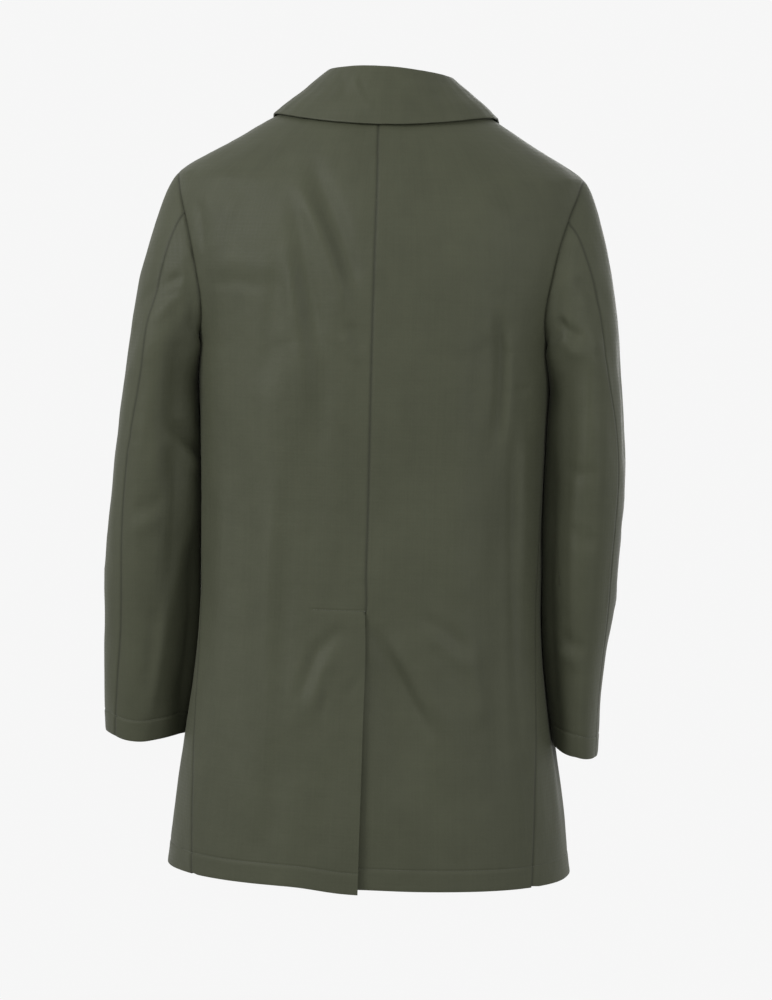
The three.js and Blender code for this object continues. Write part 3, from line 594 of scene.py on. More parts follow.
FOLD_DEPTH = 1.45  # how much deeper the folds are laid than they are drawn
FOLD_STARTS, FOLD_ENDS = (0, 0.28), (0.7, 1)  # the shares of its length where a fold rises and dies out
UNEVENNESS = (  # its scale each way, where its pattern starts, and its height in millimetres
    ((9, 9, 4), (0, 0, 0), 1.2),
    ((34, 34, 22), (7, 0, 0), 0.6),
    ((75, 75, 60), (0, 5, 0), 0.22),
)


def steady(low, high, value):
    """0 below low, 1 above high and a smooth step between them."""
    share = np.clip((value - low) / (high - low), 0, 1)
    return share * share * (3 - 2 * share)


def fold_sum(folds, across, up):
    """How far a list of folds moves the cloth out at these places, in metres."""
    total = np.zeros(len(across))
    for points, width, rise in folds:
        line = np.array(points, float) * MM
        steps = np.diff(line, axis=0)
        lengths = np.hypot(*steps.T)
        near, along, done = np.full(len(across), FAR), np.zeros(len(across)), 0.0
        for start_point, step, length in zip(line, steps, lengths):
            dx, dz = across - start_point[0], up - start_point[1]
            share = np.clip((dx * step[0] + dz * step[1]) / length**2, 0, 1)
            gap = np.hypot(dx - share * step[0], dz - share * step[1])
            closer = gap < near
            near, along = np.where(closer, gap, near), np.where(closer, done + share * length, along)
            done += length
        along /= done
        ends = steady(*FOLD_STARTS, along) * (1 - steady(*FOLD_ENDS, along))
        total += FOLD_DEPTH * rise * MM * ends * np.exp(-((near / (width * MM)) ** 2))
    return total


def unevenness(places):
    """The small unevenness of any hanging cloth, in metres, longer up and down than across."""
    total = np.zeros(len(places))
    for scale, start_point, height in UNEVENNESS:
        total += height * np.array([noise.noise(place) for place in places * scale + start_point])
    return total * MM


def normals(piece):
    rows = np.empty(len(piece.data.vertices) * 3, np.float32)
    piece.data.vertex_normals.foreach_get("vector", rows)
    return rows.reshape(-1, 3).astype(float)


print(f"{len(BACK_FOLDS)} folds behind, {len(FRONT_FOLDS)} in front and {len(SIDE_FOLDS)} on each side")

# %% [markdown]
# Sewing shapes the edges.
# Where two panels are sewn together both are turned in, so each edge dips by about a millimetre, and the
# stitches draw the cloth up into tiny, uneven ripples beside the seam. A hem, a cuff or a vent is cloth
# turned back on itself: it stands a little proud below its row of stitches, and the row itself is a
# groove. Solidify gives the cloth its real thickness on the inside, and more of it where it is doubled. A
# small bevel rounds the cut edges.

# %% Sewn edges, hems and thickness
CLOTH = 1.6 * MM
DOUBLED = 2.8 * MM
EDGE_ROUNDING = 0.35 * MM
SEAM_DIP, SEAM_WIDTH = 0.7 * MM, 1.9 * MM
PAINTED_SHADE_REACH = 1.6 * MM  # how far from a seam the painted shade reaches
PUCKER, PUCKER_SCALE, PUCKER_REACH, PUCKER_FROM = 0.5 * MM, 95, 9 * MM, 3 * MM
BAND, BAND_EDGE = 0.35 * MM, 3 * MM  # the proud band of a turned hem, and how wide its rounded edge is
GROOVE, GROOVE_WIDTH = 0.7 * MM, 1.3 * MM
GROOVE_ROWS = (-2.4 * MM, -1.2 * MM, 0, 1.2 * MM, 2.4 * MM)


def seam_relief(places, sewn):
    """The dip and the ripples beside the sewn edges."""
    ripple = np.array([noise.noise(place) for place in places * PUCKER_SCALE + (0, 0, 3)])
    ripple *= np.exp(-sewn / PUCKER_REACH) * steady(0, PUCKER_FROM, sewn)
    return PUCKER * ripple - SEAM_DIP * np.exp(-((sewn / SEAM_WIDTH) ** 2))


# how much painted shade a point gets from its nearest seam
def painted_shade_near_seams(sewn):
    return np.exp(-((sewn / PAINTED_SHADE_REACH) ** 2))


def row_relief(reach, stitched):
    """The groove of a row of stitches and the proud band between it and the edge."""
    band = BAND * (1 - steady(stitched - 2 * MM, stitched + 1 * MM, reach)) * steady(0, BAND_EDGE, reach)
    return band - GROOVE * np.exp(-(((reach - stitched) / GROOVE_WIDTH) ** 2))


def store(piece, name, values):
    layer = piece.data.attributes.new(name, "FLOAT", "POINT")
    layer.data.foreach_set("value", np.asarray(values, np.float32))


def flat_map(piece, middle_x, radius):
    """Cloth coordinates in metres: round the body or the arm, and up."""
    places = spots(piece)
    turn = np.arctan2(places[:, 1], places[:, 0] - middle_x)
    facing = np.arctan2(places[:, 1].mean(), places[:, 0].mean() - middle_x)
    turn = (turn - facing + pi) % (2 * pi) - pi
    rows = np.stack([turn * radius, places[:, 2]], 1)
    corners = np.empty(len(piece.data.loops), np.int32)
    piece.data.loops.foreach_get("vertex_index", corners)
    layer = piece.data.uv_layers.get("cloth") or piece.data.uv_layers.new(name="cloth")
    layer.data.foreach_set("uv", rows[corners].astype(np.float32).ravel())


def round_edges(piece, width, sharpest):
    """Rounds the edges of piece, the active object, that turn by more than this many degrees."""
    rounding = piece.modifiers.new("rounding", "BEVEL")
    rounding.width = width
    rounding.segments = 2
    rounding.angle_limit = radians(sharpest)
    bpy.ops.object.modifier_apply(modifier=rounding.name)


def thicken(piece, doubled):
    """Gives the cloth its thickness, on the inside. doubled is 1 where it is turned back on itself."""
    group = piece.vertex_groups.new(name="doubled")
    for index, share in enumerate(doubled):
        group.add([index], CLOTH / DOUBLED + (1 - CLOTH / DOUBLED) * float(share), "REPLACE")
    wall = piece.modifiers.new("wall", "SOLIDIFY")
    wall.thickness = DOUBLED
    wall.offset = -1
    wall.vertex_group = group.name
    alone(piece)
    bpy.ops.object.modifier_apply(modifier=wall.name)
    round_edges(piece, EDGE_ROUNDING, 60)
    piece.vertex_groups.clear()
    bpy.ops.object.shade_smooth_by_angle(angle=radians(50))


# %% [markdown]
# Now the panels themselves.
# All eight go through the same steps: skin, smoothing, rows for the stitches, folds and sewing relief. A
# table says what is different for each: which of its edges are free, how far above the edge its stitches
# run, and which way the cloth goes round. The folds of the sleeves are kept in lists of their own, seen
# from behind, from the front and from the outer side of the arm.

# %% The folds of the sleeves
LEFT_SLEEVE_FOLDS = {
    "back": (
        ([(212, -204), (238, -217), (266, -236)], 6, -2.4),
        ([(214, -222), (242, -238), (270, -262)], 8, 1.8),
        ([(210, -184), (204, -234), (204, -290)], 6, -2.0),
        ([(260, -248), (242, -235), (216, -222)], 5, -2.0),
        ([(264, -272), (246, -252), (222, -238)], 7, 1.5),
        ([(284, -378), (272, -388), (258, -391)], 5, -1.6),
        ([(204, -418), (214, -394), (226, -366)], 5, -2.8),
        ([(206, -432), (220, -404), (236, -378)], 6, 1.9),
        ([(206, -440), (204, -520), (206, -610), (214, -740), (214, -780)], 22, -7.0),
        ([(203, -433), (212, -500), (230, -590), (250, -720)], 9, 1.8),
        ([(236, -262), (240, -330), (242, -400), (242, -450)], 10, 1.6),
        ([(252, -280), (258, -340), (262, -410)], 10, 1.3),
        ([(232, -452), (252, -466), (274, -472)], 8, -1.4),
        ([(236, -474), (258, -488), (282, -494)], 8, 1.2),
        ([(240, -560), (246, -620), (252, -690)], 9, -1.2),
    ),
    "front": (
        ([(226, -230), (250, -262), (262, -300)], 9, -2.0),
        ([(240, -420), (262, -440), (286, -446)], 8, -2.4),
        ([(236, -446), (262, -464), (290, -472)], 9, 2.0),
        ([(234, -474), (258, -494), (284, -504)], 8, -2.0),
        ([(250, -540), (258, -610), (262, -690)], 11, -1.3),
    ),
    "outer": (
        ([(20, -250), (10, -330), (16, -420)], 13, -1.2),
        ([(-36, -440), (-10, -462), (20, -470)], 9, -1.4),
        ([(-44, -520), (-14, -540), (14, -552)], 10, 1.0),
        ([(4, -560), (-6, -630), (-4, -700)], 12, -1.0),
    ),
}
RIGHT_SLEEVE_FOLDS = {
    "back": (
        ([(-214, -196), (-232, -210), (-252, -232)], 6, -2.2),
        ([(-214, -218), (-236, -234), (-256, -258)], 8, 1.7),
        ([(-240, -277), (-250, -284), (-262, -288)], 5, -1.6),
        ([(-198, -200), (-199, -240), (-200, -290)], 6, -2.4),
        ([(-196, -240), (-210, -256), (-230, -266)], 6, -2.6),
        ([(-198, -262), (-214, -276), (-236, -284)], 8, 1.8),
        ([(-198, -330), (-199, -444), (-198, -555), (-207, -690), (-207, -780)], 17, -5.0),
        ([(-206, -404), (-228, -414), (-252, -410)], 7, -1.2),
        ([(-234, -290), (-236, -350), (-234, -420)], 10, 1.6),
        ([(-248, -330), (-250, -400), (-246, -470)], 11, 1.3),
        ([(-208, -594), (-226, -604), (-244, -608)], 6, -1.8),
        ([(-206, -612), (-224, -622), (-240, -628)], 7, 1.3),
        ([(-212, -470), (-232, -486), (-256, -490)], 8, -1.3),
    ),
    "front": (
        ([(-224, -232), (-248, -262), (-258, -304)], 9, -2.0),
        ([(-226, -424), (-250, -444), (-272, -452)], 8, -2.3),
        ([(-222, -450), (-248, -470), (-272, -480)], 9, 1.9),
        ([(-220, -486), (-244, -506), (-266, -514)], 8, -1.9),
        ([(-236, -560), (-238, -630), (-236, -700)], 11, -1.3),
    ),
    "outer": (
        ([(24, -256), (14, -340), (20, -430)], 13, -1.2),
        ([(-40, -450), (-12, -470), (18, -480)], 9, -1.5),
        ([(-46, -536), (-16, -556), (12, -566)], 10, 1.0),
        ([(2, -580), (-10, -640), (-8, -700)], 12, -1.0),
    ),
}
COAT_FOLDS = {"back": BACK_FOLDS, "front": FRONT_FOLDS, "outer": SIDE_FOLDS}
FACING, SIDE_FACING = (0.05, 0.45), (0.35, 0.75)  # how squarely the cloth has to face a way to take its folds


def fold_relief(piece, folds):
    """The folds that face each way, faded out where the cloth turns away from them."""
    places, facing = spots(piece), normals(piece)
    relief = fold_sum(folds["back"], places[:, 0], places[:, 2]) * steady(*FACING, facing[:, 1])
    relief += fold_sum(folds["front"], places[:, 0], places[:, 2]) * steady(*FACING, -facing[:, 1])
    outward = facing[:, 0] * np.sign(places[:, 0])
    return relief + fold_sum(folds["outer"], places[:, 1], places[:, 2]) * steady(*SIDE_FACING, outward)


# %% [markdown]
# Making one panel is a short list of those steps.
# The reach of each point is its distance to the hem or cuff. The points of the row of stitches are found
# by it and kept, and they are sewn later. The middle of the ring that a panel goes round is the middle of
# the body, or of the arm.

# %% Make the panels
HEM_ROW, CUFF_ROW = 23 * MM, 24 * MM
EDGE_ROWS = (0.7 * MM, 1.5 * MM, 2.6 * MM, 4.5 * MM)  # from any edge
BODY_RELAXED, SLEEVE_RELAXED = 40, 12
CALM_REACH, CALM_LEAST = 24 * MM, 0.2  # near a seam the folds are this much shallower
ON_ROW = 0.1 * MM
BODY = (is_hem, HEM_ROW, COAT_FOLDS, 0.0, 0.19)  # low edge, its stitches, folds, ring's middle and radius
LEFT_ARM = (is_cuff, CUFF_ROW, LEFT_SLEEVE_FOLDS, 0.255, 0.07)
RIGHT_ARM = (is_cuff, CUFF_ROW, RIGHT_SLEEVE_FOLDS, -0.24, 0.07)
PANELS = {}  # node: its free edges, and the rest as above
for part, upright in ("back", is_vent), ("front", is_front_edge):
    for side in "left", "right":
        PANELS[f"{part}_{side}"] = ((is_hem, upright), *BODY)
for side, arm in ("left", LEFT_ARM), ("right", RIGHT_ARM):
    for half in "top", "under":
        PANELS[f"sleeve_{side}_{half}"] = ((is_cuff,), *arm)
RIM = 3 * MM
panels, rows_to_sew = {}, []


def sewing_row(piece, on_row, middle_x):
    """The places and normals of the vertices on a row of stitches, in order round the ring."""
    places, facing = spots(piece)[on_row], normals(piece)[on_row]
    turn = np.arctan2(places[:, 1], places[:, 0] - middle_x)
    mean = np.arctan2(np.sin(turn).mean(), np.cos(turn).mean())
    order = np.argsort((turn - mean + pi) % (2 * pi))
    return places[order], facing[order]


def make_panel(node):
    free_tests, row_test, row_height, folds, middle_x, radius = PANELS[node]
    piece = outer_skin(node, node + "_cloth", RIM)
    off = smooth_skin(piece, SLEEVE_RELAXED if "sleeve" in node else BODY_RELAXED)
    add_rows(piece, distance_to(piece, border(piece)), EDGE_ROWS)
    hem_edges = split_border(piece, (row_test,))[0]
    add_rows(piece, distance_to(piece, hem_edges), [row_height + step for step in GROOVE_ROWS])
    if node == "back_left":
        add_rows(piece, spots(piece)[:, 2], [VENT_TOP + step for step in GROOVE_ROWS])
    sewn_edges = split_border(piece, free_tests)[1]
    reach, sewn = distance_to(piece, hem_edges), distance_to(piece, sewn_edges)
    places, facing = spots(piece), normals(piece)
    calm = steady(0, CALM_REACH, sewn) * (1 - CALM_LEAST) + CALM_LEAST
    relief = fold_relief(piece, folds) * calm + unevenness(places) * calm
    relief += seam_relief(places, sewn) + row_relief(reach, row_height)
    vent_row = np.zeros(len(places), bool)
    if node == "back_left":
        beside = places[:, 0] < VENT_LEFT
        relief -= GROOVE * beside * np.exp(-(((places[:, 2] - VENT_TOP) / GROOVE_WIDTH) ** 2))
        vent_row = beside & (places[:, 1] > 0) & (abs(places[:, 2] - VENT_TOP) < ON_ROW)
    move_to(piece, places + facing * relief[:, None])
    # the amount of painted shade along the seams, which the cotton material reads
    store(piece, "seam", painted_shade_near_seams(sewn))
    store(piece, "doubled", 1 - steady(row_height - 0.5 * MM, row_height + 1.5 * MM, reach))
    flat_map(piece, middle_x, radius)
    rows_to_sew.append((node, *sewing_row(piece, abs(reach - row_height) < ON_ROW, middle_x)))
    if vent_row.any():
        rows_to_sew.append(("vent", *sewing_row(piece, vent_row, middle_x)))
    sewn_edge = sewn < 0.05 * MM
    print(f"{node}: {len(piece.data.polygons)} faces, within {off * 1000:.2f} mm of the CAD's points")
    return piece, sewn_edge


skins = {node: make_panel(node) for node in PANELS}

# %% [markdown]
# The arms hang down, so the inner side of each sleeve rests against the body.
# From each point of the sleeve's inner side a ray is cast across to the body, which tells how wide the gap
# is there. Where the two are close, the sleeve is pressed across until it almost touches, and the press
# fades out where the gap widens and up towards the armhole.

# %% Rest the sleeves against the body
REST_GAP = 1.4 * MM
PRESS_MOST = 10 * MM
PRESS_FADES = (15 * MM, 38 * MM)
PRESS_HEIGHTS = (-0.255, -0.288)
INWARD = (0, 0.45)  # how squarely the sleeve has to face the body
OUTSIDE = 40 * MM


def body_gap(place, side):
    """How far this place is from the body, straight across."""
    start_point = Vector(place) + Vector((side * OUTSIDE, 0, 0))
    gap = FAR
    for node in ("back_left", "front_left") if side > 0 else ("back_right", "front_right"):
        found, spot, _, _ = skins[node][0].ray_cast(start_point, Vector((-side, 0, 0)), distance=3 * OUTSIDE)
        if found:
            gap = min(gap, (place[0] - spot.x) * side)
    return gap


def press(node):
    piece = skins[node][0]
    side = 1 if "left" in node else -1
    places, facing = spots(piece), normals(piece)
    inward = steady(*INWARD, -facing[:, 0] * side) * steady(*PRESS_HEIGHTS, places[:, 2])
    gaps = np.array([body_gap(place, side) if share > 0 else FAR for place, share in zip(places, inward)])
    push = np.clip(gaps - REST_GAP, -PRESS_MOST, PRESS_MOST) * (1 - steady(*PRESS_FADES, gaps)) * inward
    places[:, 0] -= side * push
    move_to(piece, places)
    print(f"{node}: pressed across by up to {push.max() * 1000:.1f} mm")


for node in skins:
    if "sleeve" in node:
        press(node)

# %% [markdown]
# The panels are sewn together by drawing the edges of each seam to the line midway between them.
# Each panel was shaped on its own, so its edge may have drifted a little from its neighbour's. For each
# point of a sewn edge the nearest point of the other panels' edges is found, and both go halfway. The
# cloth beside the seam follows less and less over a short distance, so that nothing is torn or creased.

# %% Sew the panels together
SEAM_REACH = 5 * MM
SEAM_FOLLOW = 12 * MM
SEAM_LAP = 0.04 * MM  # each edge goes this far past the middle line, so that no light falls through


def pull_together(node):
    piece, sewn_edge = skins[node]
    own = spots(piece)[sewn_edge]
    others = np.concatenate([edge_marks[other] for other in skins if other != node])
    tree, pulls = tree_of(others), np.zeros_like(own)
    for index, place in enumerate(own):
        spot, _, gap = tree.find(place)
        if SEAM_LAP / 2 < gap < SEAM_REACH:
            pulls[index] = (np.array(spot) - place) * (0.5 + SEAM_LAP / gap)
    return own, pulls


def border_marks(piece, sewn_edge):
    """Places along the border edges whose two ends are both sewn."""
    own = tree_of(spots(piece)[sewn_edge])
    kept = [pair for pair in border(piece) if max(own.find(end)[2] for end in pair) < 1e-6]
    return marks_along(np.array(kept), (0, 0.2, 0.4, 0.6, 0.8))


edge_marks = {node: border_marks(*skins[node]) for node in skins}
drawn = {node: pull_together(node) for node in skins}
for node, (own, pulls) in drawn.items():
    piece = skins[node][0]
    tree, places = tree_of(own), spots(piece)
    moved = places.copy()
    for index, place in enumerate(places):
        _, nearest, gap = tree.find(place)
        if gap < SEAM_FOLLOW:
            moved[index] += pulls[nearest] * (1 - float(steady(0, SEAM_FOLLOW, gap)))
    move_to(piece, moved)
    print(f"{node}: edges moved by at most {np.linalg.norm(pulls, axis=1).max() * 1000:.2f} mm")

# %% [markdown]
# Only now does the cloth get its thickness, so that both sides of a seam keep meeting.

# %% Thicken the panels
def finish_cloth(node, piece):
    layer = piece.data.attributes.get("doubled")
    doubled = np.zeros(len(piece.data.vertices), np.float32)
    if layer:
        layer.data.foreach_get("value", doubled)
        piece.data.attributes.remove(layer)
    thicken(piece, doubled)
    piece.data.materials.clear()
    piece.data.materials.append(cotton)
    panels[node] = piece


for node, (piece, _) in skins.items():
    finish_cloth(node, piece)
print(f"{len(panels)} panels have their thickness")

# %% [markdown]
# The collar is two pieces: a low stand inside, and the collar proper, which rolls over it and lies on the
# shoulders. On a real coat the roll is soft and the outer edge has a slight, firm bow, because two layers
# are sewn together, turned and pressed. Its roll has very small faces beside large ones, over which a
# smooth surface would ripple. So the faces are divided as they are, flat, and only then evened out. At the
# roll the sides are drawn in a little, because a sewn roll pulls straight from the back of the neck to the
# shoulder. Near the outer edge a shallow groove shows where the layers inside end.

# %% Make the collar
COLLAR_RIM = 2 * MM
EDGE_PRESS, PRESS_DEPTH, PRESS_WIDTH = 7 * MM, 0.25 * MM, 1.8 * MM
COLLAR_RELAXED, COLLAR_FACING = 36, (0.05, 0.4)
COLLAR_UNEVEN = 0.6  # two layers are firmer than one
SIDE_STRAIGHTENED = 4 * MM
SIDEWAYS = (0.35, 0.8)  # where the collar's sides begin and are full, as the sine of the angle round it
ROLL_HEIGHT = 4 * MM
COLLAR_FOLDS = (
    ([(40, 24), (28, 6), (16, -12), (8, -28)], 4, 0.8),
    ([(30, 16), (22, 0), (12, -18)], 3.5, -0.9),
    ([(54, 28), (46, 4), (42, -14)], 6, -0.8),
    ([(-60, 10), (-70, -10), (-84, -26)], 9, -0.6),
    ([(-20, 14), (-26, -8), (-30, -30)], 12, 0.6),
)


def make_collar(node, cuts, free_tests, folds):
    piece = outer_skin(node, node + "_cloth", COLLAR_RIM)
    editing(piece, *[bpy.ops.mesh.subdivide] * cuts)
    relax(piece, COLLAR_RELAXED, keep_size=True)
    free, sewn = (distance_to(piece, edges) for edges in split_border(piece, free_tests))
    places, facing = spots(piece), normals(piece)
    behind = steady(*COLLAR_FACING, facing[:, 1])
    relief = unevenness(places) * COLLAR_UNEVEN + fold_sum(folds, places[:, 0], places[:, 2]) * behind
    relief -= PRESS_DEPTH * np.exp(-(((free - EDGE_PRESS) / PRESS_WIDTH) ** 2))
    side = steady(*SIDEWAYS, abs(places[:, 0]) / np.hypot(places[:, 0], places[:, 1]))
    side *= np.exp(-(((places[:, 2] - ROLL_HEIGHT) / (4 * ROLL_HEIGHT)) ** 2))
    moved = places + facing * relief[:, None]
    moved[:, 0] -= SIDE_STRAIGHTENED * side * np.sign(places[:, 0])
    move_to(piece, moved)
    # the amount of painted shade along the seams, which the cotton material reads
    store(piece, "seam", painted_shade_near_seams(sewn))
    flat_map(piece, 0.0, 0.08)
    finish_cloth(node, piece)
    print(f"{node}: {len(piece.data.polygons)} faces")


make_collar("collar_stand", 1, (), ())
make_collar("collar_fall", 3, (is_collar_edge,), COLLAR_FOLDS)

# %% [markdown]
# The rows of stitches are real thread.
# One stitch is a short, slim bead of thread. It is modelled once and set down again and again along the
# row, turned to follow it and sunk halfway into the groove. All the stitches of one row are one mesh, so
# that the scene stays light.

# %% Stitches
STITCH_PITCH = 3.1 * MM
STITCH = (1.15 * MM, 0.27 * MM, 0.24 * MM)  # half length, half width, half height
STITCH_RISE = 0.1 * MM

bpy.ops.object.select_all(action="DESELECT")
bpy.ops.mesh.primitive_uv_sphere_add(segments=8, ring_count=5, radius=1)
bead = bpy.context.object
bead_spots = spots(bead)[:, [2, 0, 1]] * STITCH
bead_faces = [tuple(face.vertices) for face in bead.data.polygons]
bpy.data.objects.remove(bead)


def sew(name, places, facing):
    """Sets stitches along a row of places on the cloth."""
    steps = np.linalg.norm(np.diff(places, axis=0), axis=1)
    length = np.concatenate([[0], np.cumsum(steps)])
    marks = np.arange(STITCH_PITCH / 2, length[-1], STITCH_PITCH)
    at, up = (
        np.stack([np.interp(marks, length, rows[:, k]) for k in range(3)], 1) for rows in (places, facing)
    )
    up /= np.linalg.norm(up, axis=1)[:, None]
    along = np.gradient(at, axis=0)
    along -= up * (along * up).sum(1)[:, None]
    along /= np.linalg.norm(along, axis=1)[:, None]
    beside = np.cross(up, along)
    turned = np.stack([along, beside, up], 1)
    rows = (bead_spots[None] @ turned + (at + up * STITCH_RISE)[:, None]).reshape(-1, 3)
    faces = [[corner + len(bead_spots) * k for corner in face] for k in range(len(at)) for face in bead_faces]
    mesh = bpy.data.meshes.new(name)
    mesh.from_pydata(rows.tolist(), [], faces)
    row = new_object(name, mesh)
    mesh.materials.append(thread)
    editing(row, lambda: bpy.ops.mesh.normals_make_consistent(inside=False))
    bpy.ops.object.shade_smooth()
    print(f"{name}: {len(at)} stitches in {length[-1]:.2f} m")
    return row


stitch_rows = [sew(f"{node}_stitches", places, facing) for node, places, facing in rows_to_sew]

# %% [markdown]
# The buttons are pressed discs with a raised rim, a dished middle and four holes.
# A turned shape like this is quickest as a profile spun round an axis. The holes are then drilled with a
# boolean, which gives clean round walls. Two pairs of thread strands cross the dish, and a short shank of
# wound thread holds the button off the cloth. One button is modelled and copied to the five places that
# the CAD gives, each with a mesh of its own.

# %% Model a button
BUTTON_DEPTH = 3.0 * MM
HOLE_RADIUS, HOLE_REACH = 0.96 * MM, 2.6 / 1.35 * MM
STRAND_RADIUS, STRAND_ASIDE, STRAND_HEIGHT = 0.3 * MM, 0.28 * MM, 2.0 * MM
SHANK_RADIUS, SHANK_THREAD, SHANK_TURNS = 1.5 * MM, 0.35 * MM, 4
BUTTON_PROFILE = (  # distance from the axis and height above the back face, in millimetres
    (0, 0.3), (6, 0.3), (9, 0.15), (10.6, 0.35), (11.4, 1.0), (11.5, 1.7), (11.2, 2.45),
    (10.5, 2.9), (9.7, 3.0), (8.9, 2.85), (8.1, 2.35), (7.2, 1.95), (5.4, 1.8), (0, 1.75),
)


def drilled_button():
    bpy.ops.object.select_all(action="DESELECT")
    profile = bpy.data.meshes.new("button_face")
    points = [(x * MM, 0, z * MM) for x, z in BUTTON_PROFILE]
    profile.from_pydata(points, [(k, k + 1) for k in range(len(points) - 1)], [])
    button = new_object("button_face", profile)
    editing(
        button,
        lambda: bpy.ops.mesh.spin(steps=48, angle=2 * pi, center=(0, 0, 0), axis=(0, 0, 1)),
        lambda: bpy.ops.mesh.select_all(action="SELECT"),
        lambda: bpy.ops.mesh.remove_doubles(threshold=0.01 * MM),
        lambda: bpy.ops.mesh.normals_make_consistent(inside=False),
    )
    for x, y in ((1, 1), (-1, 1), (-1, -1), (1, -1)):
        place = (x * HOLE_REACH, y * HOLE_REACH, BUTTON_DEPTH / 2)
        bpy.ops.mesh.primitive_cylinder_add(
            vertices=20, radius=HOLE_RADIUS, depth=2 * BUTTON_DEPTH, location=place
        )
        drill = bpy.context.object
        cut = button.modifiers.new("hole", "BOOLEAN")
        cut.object = drill
        cut.operation = "DIFFERENCE"
        cut.solver = "EXACT"
        alone(button)
        bpy.ops.object.modifier_apply(modifier=cut.name)
        bpy.data.objects.remove(drill)
    round_edges(button, 0.12 * MM, 50)
    bpy.ops.object.shade_smooth_by_angle(angle=radians(40))
    button.data.materials.append(plastic)
    return button


def button_threads():
    """The strands over the dish and the wound shank below, as one mesh."""
    made = []
    for y in (-HOLE_REACH, HOLE_REACH):
        for aside in (-STRAND_ASIDE, STRAND_ASIDE):
            bpy.ops.mesh.primitive_cylinder_add(
                vertices=10, radius=STRAND_RADIUS, depth=2 * HOLE_REACH,
                location=(0, y + aside, STRAND_HEIGHT), rotation=(0, pi / 2, 0),
            )
            made.append(bpy.context.object)
    for k in range(SHANK_TURNS):
        bpy.ops.mesh.primitive_torus_add(
            major_radius=SHANK_RADIUS, minor_radius=SHANK_THREAD, major_segments=20, minor_segments=8,
            location=(0, 0, (0.25 - 0.5 * k) * MM),
        )
        made.append(bpy.context.object)
    bpy.ops.object.select_all(action="DESELECT")
    for strand in made:
        strand.select_set(True)
    bpy.context.view_layer.objects.active = made[0]
    bpy.ops.object.join()
    strands = bpy.context.object
    bpy.ops.object.transform_apply(location=True, rotation=True, scale=True)
    bpy.ops.object.shade_smooth()
    strands.data.materials.clear()
    strands.data.materials.append(thread)
    return strands


button_master, thread_master = drilled_button(), button_threads()
print(f"one button: {len(button_master.data.polygons)} faces")

# %% [markdown]
# A button lies where its CAD disc lies.
# The disc's own points tell how it is turned: their spread is smallest along its axis, and that direction
# comes out of a singular value decomposition. A matrix built from it carries a copy of the button's mesh
# into place.

# %% Set the buttons in place
BUTTONS = [f"button_{k}" for k in range(1, 6)]
buttons = {}


def disc_matrix(node):
    places = spots(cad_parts[node])
    middle = (places.min(0) + places.max(0)) / 2
    axis = Vector(np.linalg.svd(places - places.mean(0))[2][2])
    axis = -axis if axis.y > 0 else axis
    across = Vector((0, 0, 1)).cross(axis).normalized()
    turn = Matrix((across, axis.cross(across), axis)).transposed().to_4x4()
    return Matrix.Translation(Vector(middle) - axis * BUTTON_DEPTH / 2) @ turn


for node in BUTTONS:
    place = disc_matrix(node)
    for master, suffix in ((button_master, "_face"), (thread_master, "_thread")):
        copied = new_object(node + suffix, master.data.copy())
        copied.data.transform(place)
        buttons[node + suffix] = copied
for master in (button_master, thread_master):
    bpy.data.objects.remove(master)
print(f"{len(BUTTONS)} buttons")

# %% [markdown]
# Each button has a buttonhole, a slit that runs from its shank away from the coat's edge.
# The slit is bound with thread laid side by side, which stands up as a narrow ribbed welt. Here the welt
# is a ring stretched into a slot, with its tube pinched in and out at every strand. It is pressed onto the
# cloth by casting each of its points against the front panel.

# %% Buttonholes
HOLE_LENGTH, HOLE_WIDTH = 24 * MM, 2.2 * MM
WELT_RADIUS = 0.75 * MM
WELT_RING, WELT_STEPS, STRANDS = 8, 160, 40
WELT_LIFT, WELT_FLAT, WELT_PINCH = 0.15 * MM, 0.55, 0.18
CAST_FROM, CAST_REACH = 20 * MM, 50 * MM


def slot_point(share):
    """A point of the slot's middle line, for a share of the way round it, and its outward direction."""
    half, end = (HOLE_LENGTH - HOLE_WIDTH) / 2, HOLE_WIDTH / 2
    turn = 2 * pi * share
    x, y = cos(turn), sin(turn)
    point = Vector((half * np.sign(x) * min(1, abs(x) * 1.6) + end * x, end * y, 0))
    return point, Vector((x * 0.25, y, 0)).normalized()


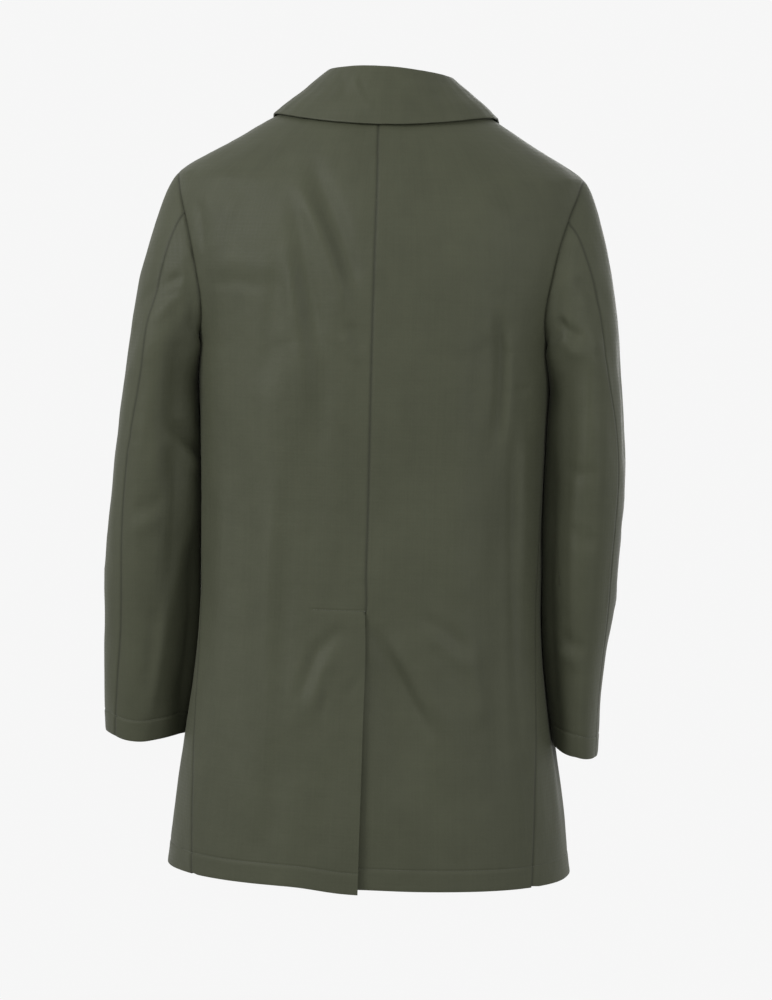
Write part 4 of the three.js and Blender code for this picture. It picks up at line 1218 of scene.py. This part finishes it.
def make_buttonhole(node):
    place = disc_matrix(node)
    rows, ring = [], WELT_RING
    for k in range(WELT_STEPS):
        point, out = slot_point(k / WELT_STEPS)
        size = WELT_RADIUS * (1 + WELT_PINCH * cos(2 * pi * STRANDS * k / WELT_STEPS))
        for j in range(ring):
            turn = 2 * pi * j / ring
            rows.append(point + out * size * cos(turn) + Vector((0, 0, WELT_FLAT * size * sin(turn))))
    faces = []
    for k in range(WELT_STEPS):
        here, there = k * ring, (k + 1) % WELT_STEPS * ring
        faces += [(here + j, there + j, there + (j + 1) % ring, here + (j + 1) % ring) for j in range(ring)]
    mesh = bpy.data.meshes.new(node + "_hole")
    aside = Vector((-1, 0, 0)) if (place.to_3x3() @ Vector((1, 0, 0))).x < 0 else Vector((1, 0, 0))
    shift = aside * (HOLE_LENGTH / 2 - 2 * MM)
    mesh.from_pydata([place @ (row + shift) for row in rows], [], faces)
    hole = new_object(node + "_hole", mesh)
    axis = (place.to_3x3() @ Vector((0, 0, 1))).normalized()
    for vertex, row in zip(mesh.vertices, rows):
        start_point = vertex.co + axis * CAST_FROM
        found, spot, _, _ = panels["front_left"].ray_cast(start_point, -axis, distance=CAST_REACH)
        if found:
            vertex.co = spot + axis * (row.z + WELT_LIFT)
    mesh.materials.append(thread)
    editing(hole, lambda: bpy.ops.mesh.normals_make_consistent(inside=False))
    bpy.ops.object.shade_smooth()
    return hole


buttonholes = [make_buttonhole(node) for node in BUTTONS]
print(f"{len(buttonholes)} buttonholes")

# %% [markdown]
# Last, each piece is hung from the root that carries it, and the plain CAD piece that it stands for is
# hidden.

SHOULDERS = ["back_left", "back_right", "front_left", "front_right"]
RESTS = {"collar_fall": ["collar_stand"], "collar_stand": SHOULDERS}

for node, piece in panels.items():
    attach(piece, "root")
    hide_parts(node)
    sewn_on = [row for row in stitch_rows if row.name.startswith(node)]
    if node == "front_left":
        sewn_on += buttonholes
    rests = RESTS.get(node, ["collar_stand"] if node in SHOULDERS else ["back_" + node.split("_")[1]])

for row in [*stitch_rows, *buttonholes]:
    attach(row, "root")
for node in BUTTONS:
    face, strands = buttons[node + "_face"], buttons[node + "_thread"]
    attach(face, "root")
    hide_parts(node)
    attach(strands, "root")
